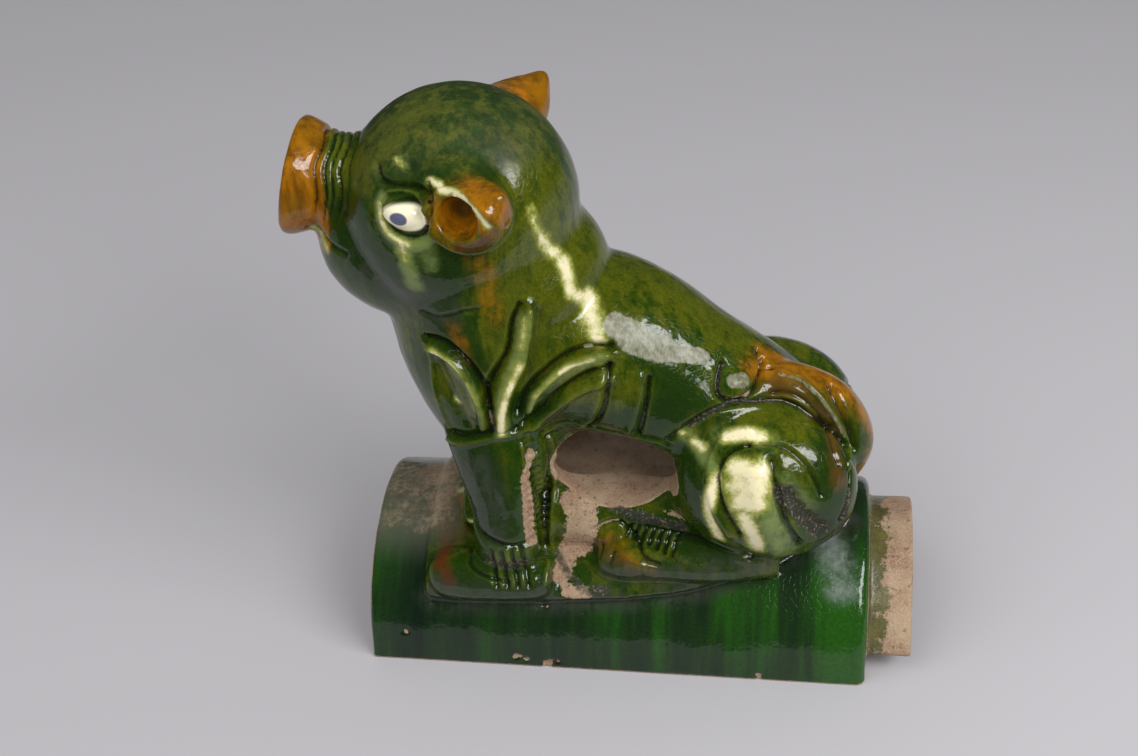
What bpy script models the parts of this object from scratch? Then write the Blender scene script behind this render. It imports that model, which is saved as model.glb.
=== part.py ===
"""Glazed ridge tile with a seated pig-snouted beast, fired as one hollow piece of clay."""

import math

import bmesh
import bpy
import numpy as np
from mathutils import Matrix, Vector
from mathutils.bvhtree import BVHTree

# Barrel tile, in metres. The beast looks along -X and the tile runs along X.
TILE_LENGTH = 0.206
TILE_RADIUS = 0.054
TILE_WALL = 0.015
RIM_ROUND = 0.004
SPIGOT_LENGTH = 0.018
SPIGOT_STEP = 0.0083
SPIGOT_FOOT_LIFT = 0.009
SPIGOT_OVERLAP = 0.012
TILE_CENTRE_X = 0.0053
ARC_STEPS = 48

# Slab of clay that the beast's feet stand on, following the tile's flank.
PAD_THICKNESS = 0.0035

# Beast and the hollow inside it, with an oval window on each side below the belly.
BEAST_HEIGHT = 0.179
BEAST_WALL = 0.008
WINDOW_LENGTH = 0.052
WINDOW_HEIGHT = 0.034

# Fineness of the modelled clay.
VOXEL = 0.0016
SOFTEN_PASSES = 14
RING_POINTS = 28
BEAST_FACES = 7600
HOLLOW_FACES = 700

# The beast's own points are in 179ths of its height, so they read as millimetres
# at the real size. They start from the middle of the tile's crown.
UNIT = BEAST_HEIGHT / 179

# Masses that the hollow follows inside: (x, y, z, half width, half depth in the side view).
NECK = [(-56, 0, 128, 42, 42), (-50, 0, 100, 42, 43), (-46, 0, 70, 43, 41), (-45, 0, 46, 38, 33)]
BACK = [(-40, 0, 76, 41, 37), (-6, 0, 74, 37, 37), (25, 0, 57, 34, 33), (52, 0, 41, 33, 30), (68, 0, 31, 30, 27)]
WEB = [(-54, 0, 30, 28, 26), (0, 0, 31, 28, 26), (50, 0, 30, 28, 26)]
SKULL = (-60, 0, 136), (46, 45.5, 46)
WINDOW_CENTRE = (0, 0, 31.5)

# Carving on the beast's sides: a stroke's half width, its depth and its (x, z) points,
# all in beast units. A negative depth stands proud.
CARVING = {
    "brow": (1.4, 1.8, [(-84, 163), (-82, 160.5), (-75, 161), (-62, 161)]),
    "under the eye": (1.3, 1.2, [(-80, 149), (-75.5, 143.5), (-69, 142.5), (-61, 147)]),
    "ear rim": (2, -2, [(-64, 165), (-51, 166), (-41, 164), (-36, 156), (-40, 147), (-50, 143), (-58, 147)]),
    "ear cup": (4.5, 7, [(-50, 157), (-46, 153)]),
    "front tuft": (3, -3.5, [(-68, 93), (-60, 90), (-53, 81), (-49.5, 68), (-49, 60)]),
    "front tuft edge": (1.5, 2, [(-64, 96), (-55, 91), (-47.5, 80), (-45.5, 67)]),
    "front tuft face": (4, 2, [(-66, 80), (-61, 68), (-58, 58)]),
    "middle tuft": (3.4, -4, [(-30, 108), (-31.5, 95), (-37, 82), (-41.5, 70), (-42, 59)]),
    "middle tuft edge": (1.5, 2, [(-35, 110), (-36.5, 98), (-41, 88), (-45, 80)]),
    "rear tuft": (2.2, -3.2, [(-4, 87), (-13, 83.5), (-22, 77), (-30, 67)]),
    "rear tuft edge": (1.3, 2, [(0, 91), (-8, 91), (-18, 87), (-27, 79), (-34, 69)]),
    "lower tuft edge": (1.3, 2, [(1, 84), (-10, 79.5), (-20, 72), (-28, 62)]),
    "sleeve": (1.3, 1.4, [(-66, 50), (-56, 52), (-43, 55), (-32, 58), (-25, 65)]),
    "front rib": (1.4, 2, [(0.7, 85), (-1, 73), (-4, 61), (-10, 50)]),
    "rear rib": (1.4, 2, [(15.4, 79), (13.5, 65), (10, 52)]),
    "leg fringe": (2, 1.5, [(-31, 47), (-30, 30), (-29, 8)]),
    "thigh fold": (1.8, 2.4, [(48, 20), (43.5, 33), (43.5, 46), (50, 54), (60, 56), (69, 53)]),
    "behind the shank": (5, 4, [(70, 42), (76, 30), (83, 18)]),
}
TAIL_GROOVE = (2, 2.5, [(66, 66), (78, 61), (87, 50), (91, 36)])
TOE_GROOVES = [-66, -58, -50, -42]
TOE_GROOVE_WIDTH = 1.2
TOE_GROOVE_DEPTH = 1.6
WRINKLES = [-109.5, -106, -102.5, -99]
WRINKLE_WIDTH = 1.1
WRINKLE_DEPTH = 1.0
SNOUT_AXIS_HEIGHT = 143
SNOUT_REACH = 23


def clear_scene():
    for item in list(bpy.data.objects):
        bpy.data.objects.remove(item)


def beast_point(x, y, z):
    """A point of the beast, in its own units from the middle of the tile's crown."""
    return Vector((TILE_CENTRE_X + x * UNIT, y * UNIT, TILE_RADIUS + z * UNIT))


def flank_point(x, around_deg, lift):
    """A point over the tile's near flank, as beast_point wants it."""
    turn = math.radians(around_deg)
    radius = TILE_RADIUS / UNIT + lift
    return x, -radius * math.sin(turn), radius * math.cos(turn) - TILE_RADIUS / UNIT


def add_ellipsoid(clay, centre, radii, tilt_deg=0.0):
    """A rounded mass; tilt turns it about Y and drops the nose for a positive angle."""
    place = (
        Matrix.Translation(beast_point(*centre))
        @ Matrix.Rotation(math.radians(tilt_deg), 4, "Y")
        @ Matrix.Diagonal(Vector(radii) * UNIT).to_4x4()
    )
    bmesh.ops.create_icosphere(clay, subdivisions=4, radius=1.0, matrix=place)


def catmull_rom(a, b, c, d, t):
    return tuple(
        0.5 * (2 * q + (r - p) * t + (2 * p - 5 * q + 4 * r - s) * t**2 + (3 * q - p - 3 * r + s) * t**3)
        for p, q, r, s in zip(a, b, c, d)
    )


def smooth_path(stations, steps=5):
    """The same stations with more between each two, on a smooth curve through them."""
    padded = [stations[0], *stations, stations[-1]]
    found = []
    for i in range(len(stations) - 1):
        found += [catmull_rom(*padded[i : i + 4], k / steps) for k in range(steps)]
    return [*found, stations[-1]]


def skin_rings(clay, rings):
    for before, after in zip(rings, rings[1:]):
        for k in range(len(before)):
            n = (k + 1) % len(before)
            clay.faces.new((before[k], before[n], after[n], after[k]))
    clay.faces.new(list(reversed(rings[0])))
    clay.faces.new(rings[-1])


def add_loft(clay, stations):
    """A limb through stations of (x, y, z, half thickness across, half depth in the side view)."""
    path = smooth_path(stations)
    centres = [beast_point(*s[:3]) for s in path]
    rings = []
    for i, station in enumerate(path):
        along = (centres[min(i + 1, len(path) - 1)] - centres[max(i - 1, 0)]).normalized()
        across = (Vector((0, 1, 0)) - along * along.y).normalized()
        depth = along.cross(across)
        ring = []
        for k in range(RING_POINTS):
            turn = 2 * math.pi * k / RING_POINTS
            offset = across * (station[3] * math.cos(turn)) + depth * (station[4] * math.sin(turn))
            ring.append(clay.verts.new(centres[i] + offset * UNIT))
        rings.append(ring)
    skin_rings(clay, rings)


def both_sides(stations):
    """The stations, which are on the near side (-Y), and their mirror on the far side."""
    return [[(s[0], side * s[1], *s[2:]) for s in stations] for side in (1, -1)]


def object_from(clay, name):
    bmesh.ops.recalc_face_normals(clay, faces=clay.faces)
    mesh = bpy.data.meshes.new(name)
    clay.to_mesh(mesh)
    clay.free()
    made = bpy.data.objects.new(name, mesh)
    bpy.context.scene.collection.objects.link(made)
    return made


def add_half_round(clay, x_start, x_end, radius, foot=0.0, round_start=0.0, round_end=0.0):
    """A solid half-round bar along X, from the height foot upwards, with rounded end rims."""
    steps = 4
    quarter = [math.pi / 2 * k / steps for k in range(steps + 1)]
    sections = [
        (x_start + round_start * (1 - math.cos(t)), radius - round_start * (1 - math.sin(t)))
        for t in (quarter if round_start else quarter[:1])
    ]
    sections += [
        (x_end - round_end * (1 - math.sin(t)), radius - round_end * (1 - math.cos(t)))
        for t in (quarter if round_end else quarter[:1])
    ]
    rings = []
    for x, r in sections:
        low = math.asin(foot / r)
        turns = [low + (math.pi - 2 * low) * k / ARC_STEPS for k in range(ARC_STEPS + 1)]
        rings.append([clay.verts.new((x, r * math.cos(t), r * math.sin(t))) for t in turns])
    skin_rings(clay, rings)


def barrel():
    clay = bmesh.new()
    ends = [TILE_CENTRE_X + side * TILE_LENGTH / 2 for side in (-1, 1)]
    add_half_round(clay, *ends, TILE_RADIUS, 0.0, RIM_ROUND / 2, RIM_ROUND)
    return object_from(clay, "ridge_tile_with_beast")


def spigot():
    clay = bmesh.new()
    start = TILE_CENTRE_X + TILE_LENGTH / 2 - SPIGOT_OVERLAP
    end = start + SPIGOT_OVERLAP + SPIGOT_LENGTH
    add_half_round(clay, start, end, TILE_RADIUS - SPIGOT_STEP, SPIGOT_FOOT_LIFT)
    return object_from(clay, "spigot")


def channel():
    """The round hollow that runs under the whole tile."""
    clay = bmesh.new()
    reach = TILE_LENGTH + SPIGOT_LENGTH
    turn = Matrix.Translation((TILE_CENTRE_X, 0, 0)) @ Matrix.Rotation(math.pi / 2, 4, "Y")
    bmesh.ops.create_cone(
        clay,
        cap_ends=True,
        segments=2 * ARC_STEPS,
        radius1=TILE_RADIUS - TILE_WALL,
        radius2=TILE_RADIUS - TILE_WALL,
        depth=2 * reach,
        matrix=turn,
    )
    return object_from(clay, "channel")


def window():
    """The oval cut through both sides between the legs."""
    clay = bmesh.new()
    place = (
        Matrix.Translation(beast_point(*WINDOW_CENTRE))
        @ Matrix.Diagonal((WINDOW_LENGTH / 2, 1, WINDOW_HEIGHT / 2, 1))
        @ Matrix.Rotation(math.pi / 2, 4, "X")
    )
    bmesh.ops.create_cone(
        clay, cap_ends=True, segments=ARC_STEPS, radius1=1, radius2=1, depth=3 * TILE_RADIUS, matrix=place
    )
    return object_from(clay, "window")


def add_pad(clay):
    """The slab under the beast: its lower edge rises round the flank from front to back."""
    edge = smooth_path([(-80, 52), (-76, 59), (-50, 59), (-22, 57), (11, 54), (38, 48), (67, 34), (94, 14)])
    steps = 24
    thickness = PAD_THICKNESS / UNIT
    rings = []
    for x, around in edge:
        turns = [around * (1 - 2 * k / steps) for k in range(steps + 1)]
        outer = [flank_point(x, turn, thickness) for turn in turns]
        inner = [flank_point(x, turn, -thickness) for turn in reversed(turns)]
        rings.append([clay.verts.new(beast_point(*p)) for p in outer + inner])
    skin_rings(clay, rings)


def add_head(clay):
    add_ellipsoid(clay, *SKULL)
    add_ellipsoid(clay, (-78, 0, 121), (40, 35, 33), tilt_deg=8)
    add_ellipsoid(clay, (-108, 0, 123), (11, 15, 9), tilt_deg=-20)
    add_loft(
        clay,
        [
            (-88, 0, 142, 25, 25),
            (-99, 0, 143, 20, 20.5),
            (-107, 0, 143.8, 18.5, 19),
            (-113, 0, 144.6, 19.5, 20),
            (-119, 0, 145.5, 22, 22.5),
            (-124, 0, 146.2, 23.5, 24),
            (-126, 0, 146.6, 22.5, 23),
        ],
    )
    ear = [(-54, -28, 153, 18.5, 18.5), (-47, -40, 153, 15, 15), (-40, -48, 158, 11, 11), (-33, -54, 167, 2, 2)]
    for stations in both_sides(ear):
        add_loft(clay, stations)
    for side in (-1, 1):
        add_ellipsoid(clay, (-71.5, side * 38.5, 151.5), (9.5, 6.5, 6.2), tilt_deg=12)


def add_body(clay):
    add_loft(clay, [*NECK, (-46, 0, 26, 26, 22)])
    add_ellipsoid(clay, (-34, 0, 108), (32, 36, 30), tilt_deg=38)
    add_loft(clay, [*BACK, (88, 0, 18, 18, 18)])


def add_web(clay):
    """The clay between belly and tile, which the windows are cut through."""
    add_loft(clay, WEB)
    skirt = [(-64, 0, 4, 31, 18), (-20, 0, 4, 34, 24), (20, 0, 4, 35, 24), (60, 0, 4, 36, 28), (88, 0, 2, 20, 18)]
    add_loft(clay, skirt)


def add_legs(clay):
    for side in (-1, 1):
        add_ellipsoid(clay, (59, side * 26, 27), (38, 25.5, 33), tilt_deg=10)
    hind_foot = [
        (*flank_point(66, 34, 6), 9, 9),
        (*flank_point(40, 38, 6), 9, 8),
        (*flank_point(18, 38, 6), 9, 8),
        (*flank_point(2, 38, 5), 9, 8),
        (*flank_point(-7, 38, 4), 6, 6),
    ]
    foreleg = [
        (-47, -28, 50, 15, 22),
        (-45, -33, 34, 14, 18.5),
        (-44, -36, 16, 13, 14.5),
        (-44, -38, -2, 13, 13.5),
        (-44, -33, -14, 13, 12),
    ]
    fore_paw = [
        (*flank_point(-26, 47, 3), 8, 7),
        (*flank_point(-36, 47, 4), 11, 9),
        (*flank_point(-55, 47, 4), 12, 10),
        (*flank_point(-70, 47, 4), 11, 10),
        (*flank_point(-76, 47, 3), 7, 6),
    ]
    for limb in (hind_foot, foreleg, fore_paw):
        for stations in both_sides(limb):
            add_loft(clay, stations)


def add_tail(clay):
    """The tail is laid over the rump, its root curled into a knob on the near flank."""
    add_loft(
        clay,
        [
            (56, -8, 62, 8, 7),
            (68, -8, 61, 12, 10),
            (82, -7, 50.5, 14, 13),
            (92, -6, 35, 13, 11),
            (93, -6, 18, 5, 4),
        ],
    )
    add_ellipsoid(clay, (46, -19, 66), (8, 8, 8))


def run_together(item, voxel):
    """Fuse the masses of an object and soften them, as pressed clay."""
    remesh = item.modifiers.new("fused", "REMESH")
    remesh.mode = "VOXEL"
    remesh.voxel_size = voxel
    soften = item.modifiers.new("softened", "SMOOTH")
    soften.factor = 0.5
    soften.iterations = SOFTEN_PASSES
    bake(item)


def bake(item):
    """Replace the object's mesh by what its modifiers make of it."""
    bpy.context.view_layer.update()
    view = bpy.context.evaluated_depsgraph_get()
    made = bpy.data.meshes.new_from_object(item.evaluated_get(view))
    item.modifiers.clear()
    item.data = made


def thin_out(item, faces):
    """Keep fewer triangles, most of them where the surface bends."""
    item.data.calc_loop_triangles()
    decimate = item.modifiers.new("facets", "DECIMATE")
    decimate.ratio = faces / len(item.data.loop_triangles)
    bake(item)


def laid_on(tree, points, side):
    """The stroke's (x, z) points on the surface, as seen from the given side."""
    found = []
    for x, z in smooth_path(points, 4):
        start = beast_point(x, side * 120, z)
        spot = tree.ray_cast(start, Vector((0, -side, 0)))[0]
        if spot is not None:
            found.append(spot)
    return np.array(found)


def distance_to_line(points, line):
    nearest = np.full(len(points), np.inf)
    for a, b in zip(line, line[1:]):
        run = b - a
        share = np.clip((points - a) @ run / max(run @ run, 1e-12), 0, 1)
        nearest = np.minimum(nearest, np.linalg.norm(points - a - share[:, None] * run, axis=1))
    return nearest


def strokes_for(side):
    strokes = list(CARVING.values())
    strokes += [(TOE_GROOVE_WIDTH, TOE_GROOVE_DEPTH, [(x, -2), (x + 1, -13)]) for x in TOE_GROOVES]
    return strokes + [TAIL_GROOVE] if side < 0 else strokes


def wrinkle_depths(points):
    """How deep each point lies in the rings incised round the snout's neck."""
    own = (points - np.array(beast_point(0, 0, 0))) / UNIT
    near_snout = np.hypot(own[:, 1], own[:, 2] - SNOUT_AXIS_HEIGHT) < SNOUT_REACH
    lean = 0.08 * (own[:, 2] - SNOUT_AXIS_HEIGHT - SNOUT_REACH)
    return sum(
        WRINKLE_DEPTH * np.exp(-(((own[:, 0] - x - lean) / WRINKLE_WIDTH) ** 2)) * near_snout for x in WRINKLES
    )


def carve(item):
    """Move the surface along its normals, into each groove and out of each ridge."""
    mesh = item.data
    points = np.empty(len(mesh.vertices) * 3)
    normals = np.empty(len(mesh.vertices) * 3)
    mesh.vertices.foreach_get("co", points)
    mesh.vertex_normals.foreach_get("vector", normals)
    points = points.reshape(-1, 3)
    tree = BVHTree.FromPolygons([Vector(p) for p in points], [tuple(f.vertices) for f in mesh.polygons])
    depth = wrinkle_depths(points)
    for side in (-1, 1):
        for width, stroke_depth, line in strokes_for(side):
            away = distance_to_line(points, laid_on(tree, line, side))
            depth += stroke_depth * np.exp(-((away / (width * UNIT)) ** 2))
    points -= normals.reshape(-1, 3) * (depth * UNIT)[:, None]
    mesh.vertices.foreach_set("co", points.ravel())
    mesh.update()


def beast():
    clay = bmesh.new()
    for add in (add_pad, add_body, add_head, add_legs, add_web, add_tail):
        add(clay)
    made = object_from(clay, "beast")
    run_together(made, VOXEL)
    carve(made)
    thin_out(made, BEAST_FACES)
    return made


def hollow():
    """The space inside the beast: the body's own masses, smaller by the wall."""
    wall = BEAST_WALL / UNIT
    clay = bmesh.new()
    for stations in (NECK, BACK, WEB):
        add_loft(clay, [(x, y, z, across - wall, depth - wall) for x, y, z, across, depth in stations])
    centre, radii = SKULL
    add_ellipsoid(clay, centre, [r - wall for r in radii])
    made = object_from(clay, "hollow")
    run_together(made, 2 * VOXEL)
    thin_out(made, HOLLOW_FACES)
    return made


def cut_or_join(item, other, operation):
    """A Boolean with the other object, which stays as a hidden guide."""
    boolean = item.modifiers.new(other.name, "BOOLEAN")
    boolean.operation = operation
    boolean.object = other
    other.hide_render = True
    other.display_type = "WIRE"


def glazed_clay():
    material = bpy.data.materials.new("green_glazed_clay")
    material.use_nodes = True
    shader = material.node_tree.nodes["Principled BSDF"]
    shader.inputs["Base Color"].default_value = (0.030, 0.075, 0.012, 1)
    shader.inputs["Roughness"].default_value = 0.12
    shader.inputs["Metallic"].default_value = 0.0
    return material


def main():
    clear_scene()
    tile = barrel()
    cut_or_join(tile, spigot(), "UNION")
    cut_or_join(tile, beast(), "UNION")
    cut_or_join(tile, hollow(), "DIFFERENCE")
    cut_or_join(tile, window(), "DIFFERENCE")
    cut_or_join(tile, channel(), "DIFFERENCE")
    tile.data.materials.append(glazed_clay())


main()
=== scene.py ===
"""Looks of a glazed ridge tile with a seated, pig-snouted beast, fired as one piece of clay."""

import math

import bmesh
import bpy
import numpy as np
from mathutils import Matrix, Vector, noise
from mathutils.bvhtree import BVHTree


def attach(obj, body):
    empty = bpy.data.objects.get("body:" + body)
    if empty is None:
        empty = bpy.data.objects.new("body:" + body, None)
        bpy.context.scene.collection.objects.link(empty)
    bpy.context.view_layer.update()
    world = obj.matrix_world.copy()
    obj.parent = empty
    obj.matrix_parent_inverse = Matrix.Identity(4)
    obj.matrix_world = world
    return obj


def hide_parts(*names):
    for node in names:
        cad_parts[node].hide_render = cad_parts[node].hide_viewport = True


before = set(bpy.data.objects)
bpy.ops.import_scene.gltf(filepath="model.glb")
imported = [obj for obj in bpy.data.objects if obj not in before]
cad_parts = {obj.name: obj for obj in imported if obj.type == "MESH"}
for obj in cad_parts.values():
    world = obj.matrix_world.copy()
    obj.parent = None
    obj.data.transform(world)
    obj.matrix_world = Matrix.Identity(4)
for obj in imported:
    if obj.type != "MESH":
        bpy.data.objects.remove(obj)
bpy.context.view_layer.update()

# Barrel tile, in metres, as the solid has it. The beast looks along -X.
TILE_LENGTH = 0.206
TILE_RADIUS = 0.054
TILE_WALL = 0.015
RIM_ROUND = 0.004
SPIGOT_LENGTH = 0.018
SPIGOT_STEP = 0.0083
SPIGOT_FOOT_LIFT = 0.009
SPIGOT_OVERLAP = 0.012
TILE_CENTRE_X = 0.0053
PAD_THICKNESS = 0.0035
BEAST_HEIGHT = 0.179
BEAST_WALL = 0.008
WINDOW_LENGTH = 0.052
WINDOW_HEIGHT = 0.034

# Fineness of the modelled clay.
VOXEL = 0.00085
FUSE_PASSES = 40
EDGE_PASSES = 3
ARC_STEPS = 96
RING_POINTS = 40
TRIANGLES = 196000

# How many edges away a surface is compared with, to find its creases and its swells.
FINE_REACH = 6
BROAD_REACH = 40

# The beast's own points are in 179ths of its height, so they read as millimetres
# at the real size. They start from the middle of the tile's crown.
UNIT = BEAST_HEIGHT / 179
CROWN = Vector((TILE_CENTRE_X, 0, TILE_RADIUS))
TILE_FRONT = -TILE_LENGTH / 2 / UNIT
TILE_BACK = TILE_LENGTH / 2 / UNIT

# Masses that the hollow follows inside: (x, y, z, half width, half depth in the side view).
NECK = [(-56, 0, 128, 42, 42), (-50, 0, 100, 42, 43), (-46, 0, 70, 43, 41), (-45, 0, 46, 38, 33)]
BACK = [
    (-40, 0, 76, 41, 37), (-6, 0, 74, 37, 37), (25, 0, 57, 34, 33),
    (52, 0, 41, 33, 30), (68, 0, 31, 30, 27),
]
WEB = [(-54, 0, 30, 28, 26), (0, 0, 31, 28, 26), (50, 0, 30, 28, 26)]
SKULL = (-60, 0, 136), (46, 45.5, 46)
WINDOW_CENTRE = (0, 0, 31.5)

# The hollow's surface is looked for within this half width, in beast units, and this
# distance of the shape that cut it, in metres.
HOLLOW_HALF = 40
HOLLOW_TOUCH = 0.0022

# The pellet of each eye, on the far side: its middle, its radii and how far it leans.
EYEBALL = (-71.5, 38.6, 151), (9.6, 6.6, 6.2)
EYEBALL_TILT_DEG = 12

# Carving on both of the beast's sides: a stroke's half width, its depth and its (x, z)
# points, all in beast units. A negative depth stands proud.
CARVING = {
    "brow": (1.2, 2.2, [(-84, 164), (-82.6, 161), (-78, 160.2), (-70, 161), (-63, 161)]),
    "brow tick": (1.0, 1.6, [(-63, 164), (-61.5, 161), (-60.5, 156.5), (-61.5, 151.5)]),
    "upper lid": (0.9, -1.2, [(-82.5, 153), (-79.5, 156.8), (-74, 159), (-67, 158.8), (-61.8, 155.5)]),
    "lid crease": (0.55, 1.0, [(-80.6, 152), (-78.4, 155.2), (-74, 157.2), (-67.5, 156.8), (-62, 152.5)]),
    "under the eye": (1.0, 1.5, [(-80.5, 150), (-77.5, 145.5), (-71.5, 143.4), (-65.5, 144.6), (-61, 150)]),
    "lower lid": (1.6, -1.0, [(-82, 148), (-78.5, 142.6), (-71, 140), (-63.5, 141.5), (-59.8, 147)]),
    "front tuft": (
        2.1, -3.4,
        [(-68.5, 92.7), (-62.2, 91.7), (-55.7, 86.4), (-51.5, 77.5), (-49.1, 68.3), (-49.2, 59.4)],
    ),
    "front tuft edge": (1.5, 3.2, [(-70, 96), (-62, 96), (-53.5, 89), (-48, 79), (-46, 68), (-46, 59)]),
    "front tuft face": (3.6, 1.8, [(-66, 84), (-61, 72), (-56.5, 60)]),
    "front tuft hem": (0.9, -1.4, [(-68.7, 90), (-68.5, 76), (-66.5, 63), (-64, 52)]),
    "middle tuft": (
        3.2, -4.4,
        [(-30.1, 109.4), (-31.2, 100), (-33, 89.2), (-36.6, 82), (-40.6, 72), (-42.2, 58)],
    ),
    "middle tuft edge": (
        1.5, 3.4,
        [(-32, 112), (-34.6, 106), (-37.2, 94), (-42, 85.8), (-45.6, 79), (-47, 70)],
    ),
    "middle tuft back": (2.0, 1.2, [(-26, 108), (-27, 97), (-30, 86), (-34.5, 76), (-37.5, 66)]),
    "rear tuft": (
        2.0, -3.0,
        [(-0.8, 88.7), (-7.2, 88.7), (-14.8, 86.4), (-22.5, 80.6), (-28.5, 74.1), (-31.8, 67)],
    ),
    "rear tuft edge": (1.4, 3.0, [(1, 92), (-8, 92.2), (-17, 89.4), (-26, 82.2), (-32, 74), (-35, 66)]),
    "lower tuft": (1.8, -2.2, [(0.5, 79.5), (-8, 76.5), (-16, 71.5), (-24, 63.5), (-31, 57.5)]),
    "lower tuft edge": (
        1.3, 3.0,
        [(0.5, 84.6), (-7.2, 82.4), (-14.2, 78.4), (-22, 71.5), (-28, 64), (-33.5, 59.5)],
    ),
    "leg hollow": (3.0, 1.0, [(-49, 46), (-47, 32), (-44, 18)]),
    "sleeve": (0.9, 1.7, [(-66.5, 50.5), (-57.5, 53), (-49, 56), (-43, 57.6), (-36, 58)]),
    "sleeve hem": (
        1.3, -1.2,
        [(-65.7, 47.6), (-57.5, 50), (-49, 53), (-43, 54.8), (-36.1, 55.4), (-29, 59)],
    ),
    "elbow fold": (1.2, 1.6, [(-27, 52), (-18, 56), (-10, 55), (-4, 50)]),
    "front rib": (0.9, 2.4, [(0.7, 85), (-0.5, 77), (-2, 67.4), (-5.3, 58.4), (-11, 50)]),
    "front rib lip": (1.8, -1.2, [(-3, 84), (-4, 76), (-5.6, 67.4), (-9, 58.4), (-14, 51)]),
    "rear rib": (0.9, 2.4, [(15.4, 79), (14.3, 69.6), (12.5, 60.1), (10, 50.5)]),
    "rear rib lip": (1.8, -1.2, [(11.8, 79), (10.6, 69.6), (8.6, 60.1), (6.4, 52)]),
    "leg fringe": (2.0, 1.6, [(-31.5, 47), (-30.2, 36), (-29, 22), (-28.6, 4)]),
    "fringe edge": (1.0, -1.3, [(-35, 50), (-33.6, 36), (-32, 22), (-31.4, 4)]),
    "fringe back": (1.1, -1.6, [(-25, 47), (-25, 30), (-25.6, 18), (-26.8, 4), (-27.6, -12)]),
    "paw edge": (0.8, 1.5, [(-62, 1), (-58.5, -5), (-52, -8), (-42, -10)]),
    "paw curl": (2.2, -1.8, [(-69.5, 3), (-67.5, 3.4)]),
    "second paw curl": (1.8, -1.5, [(-60.4, 4.6), (-59, 4.8)]),
    "cuff": (1.4, 2.4, [(-57, 13), (-53.5, 10), (-48.2, 8.2), (-42.8, 6.6), (-37, 5.6), (-31.7, 5.7)]),
    "haunch outline": (
        1.2, 2.2,
        [(22, 50), (30.7, 58.6), (42.1, 64.4), (57.2, 63.9), (72.7, 59.4), (85, 51)],
    ),
    "haunch back": (1.0, 1.6, [(85, 51), (92, 41.4), (93.2, 31.6), (90, 20)]),
    "thigh fold": (1.0, 2.2, [(51, 18), (44.6, 30), (42.4, 39.6), (43, 46.8), (47.4, 52.2), (53.5, 54.5)]),
    "thigh fold back": (1.0, 1.6, [(53.5, 54.5), (61.9, 54.7), (69.5, 52.6), (77.4, 45.4), (82.4, 35.3)]),
    "thigh rim": (1.7, -1.2, [(47, 17), (40.6, 30), (38.8, 40), (40.4, 50), (46, 55.6), (54, 58)]),
    "shank": (5.5, -2.2, [(57, 45), (59, 32), (62, 18), (65, 8)]),
    "shank back": (1.6, 2.6, [(63, 50), (65.5, 38), (69, 25), (74, 13)]),
    "behind the shank": (4.6, 3.6, [(71, 37), (76, 29), (82.5, 19)]),
    "hock crease": (1.0, 1.8, [(36, 8), (43, 8.5), (50, 5), (56, 1)]),
    "toe top": (0.9, 2.2, [(-9, 4), (-4, 8), (2, 9.4), (7, 4.4), (13, -1), (19, -3)]),
    "hind toe": (3.0, -1.8, [(-6, 0.5), (0, 2.5), (6, -1), (12, -4)]),
    "foot back": (1.8, -1.4, [(24, 2), (35, 1.5), (47, 0.5), (59, -1)]),
    "foot edge": (1.0, 1.8, [(13, 7.6), (20, 6), (30, 4.6), (38, 4)]),
    "belly edge": (1.0, 1.4, [(-26, 49), (-14, 50), (2, 50.5), (16, 50), (22, 47)]),
    "neck crease": (0.9, 1.2, [(-70, 108.6), (-64.5, 107.4), (-58.6, 108.7), (-53.7, 111), (-47.6, 112)]),
    "lip": (0.9, 1.6, [(-118, 131), (-112, 129), (-106, 127.5), (-100, 127)]),
}

# The near side's tail, laid over the rump: its curl and the folds of its brush.
TAIL_CARVING = {
    "curl": (
        1.1, 2.8,
        [(42.4, 78), (40.6, 72), (42.6, 67.4), (48, 65.6), (53.6, 67), (57.4, 71.4), (58, 77)],
    ),
    "curl eye": (3.0, -1.6, [(47, 72), (50.5, 72)]),
    "curl back": (1.0, 1.8, [(52, 80), (54.6, 76.4), (57.4, 72), (61, 70.6)]),
    "brush ridge": (
        1.2, -2.0,
        [(63.3, 70.2), (72.2, 68.6), (80.3, 62.4), (86.4, 54.6), (90.4, 46.6), (92.6, 39)],
    ),
    "brush groove": (1.6, 2.8, [(64, 74), (74, 72.4), (82.6, 66), (89, 57), (93, 48), (94.5, 40)]),
    "brush under": (1.0, 1.6, [(62, 65), (70, 64.4), (78, 59), (84, 51.5), (88.6, 43)]),
}

# Cuts between the toes, as (x, z) from the top of the paw to its foot.
TOES = [[(x, 3.5), (x + 0.8, -4), (x + 2.4, -12)] for x in (-49, -44.6, -40.2, -36)]
TOE_CUT = 0.9, 1.9
HIND_TOES = [[(x, -1), (x - 1.5, -5.5)] for x in (-5, 0)]
HIND_TOE_CUT = 0.8, 1.2

# Hair above the hind foot and the fringe behind the foreleg.
LOCKS = [
    [(x, 9.2 - 0.16 * x), (x - 2.4, 4.0 - 0.16 * x)] for x in (7, 10.2, 13.4, 16.6, 19.8, 23, 26.2)
]
LOCK_CUT = 0.9, 2.0
FRINGE_STEPS = [[(-33.4 + 0.1 * k, 45 - 3.4 * k), (-28.6 + 0.1 * k, 45.6 - 3.4 * k)] for k in range(12)]
FRINGE_CUT = 0.65, 1.3

# Rings incised round the snout's neck, as (x, width, depth). They lean back, waver, and fade
# out below the given heights.
WRINKLES = [
    (-109.8, 0.9, 2.0), (-106.4, 0.6, 1.9), (-103.8, 0.5, 1.3), (-100.6, 0.6, 1.7), (-97.0, 0.5, 1.1),
]
WRINKLE_FADE = 132, 148
WRINKLE_LEAN = 0.10
WRINKLE_WAVE = 0.7
SNOUT_AXIS_HEIGHT = 143.5
SNOUT_REACH = 23

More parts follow.
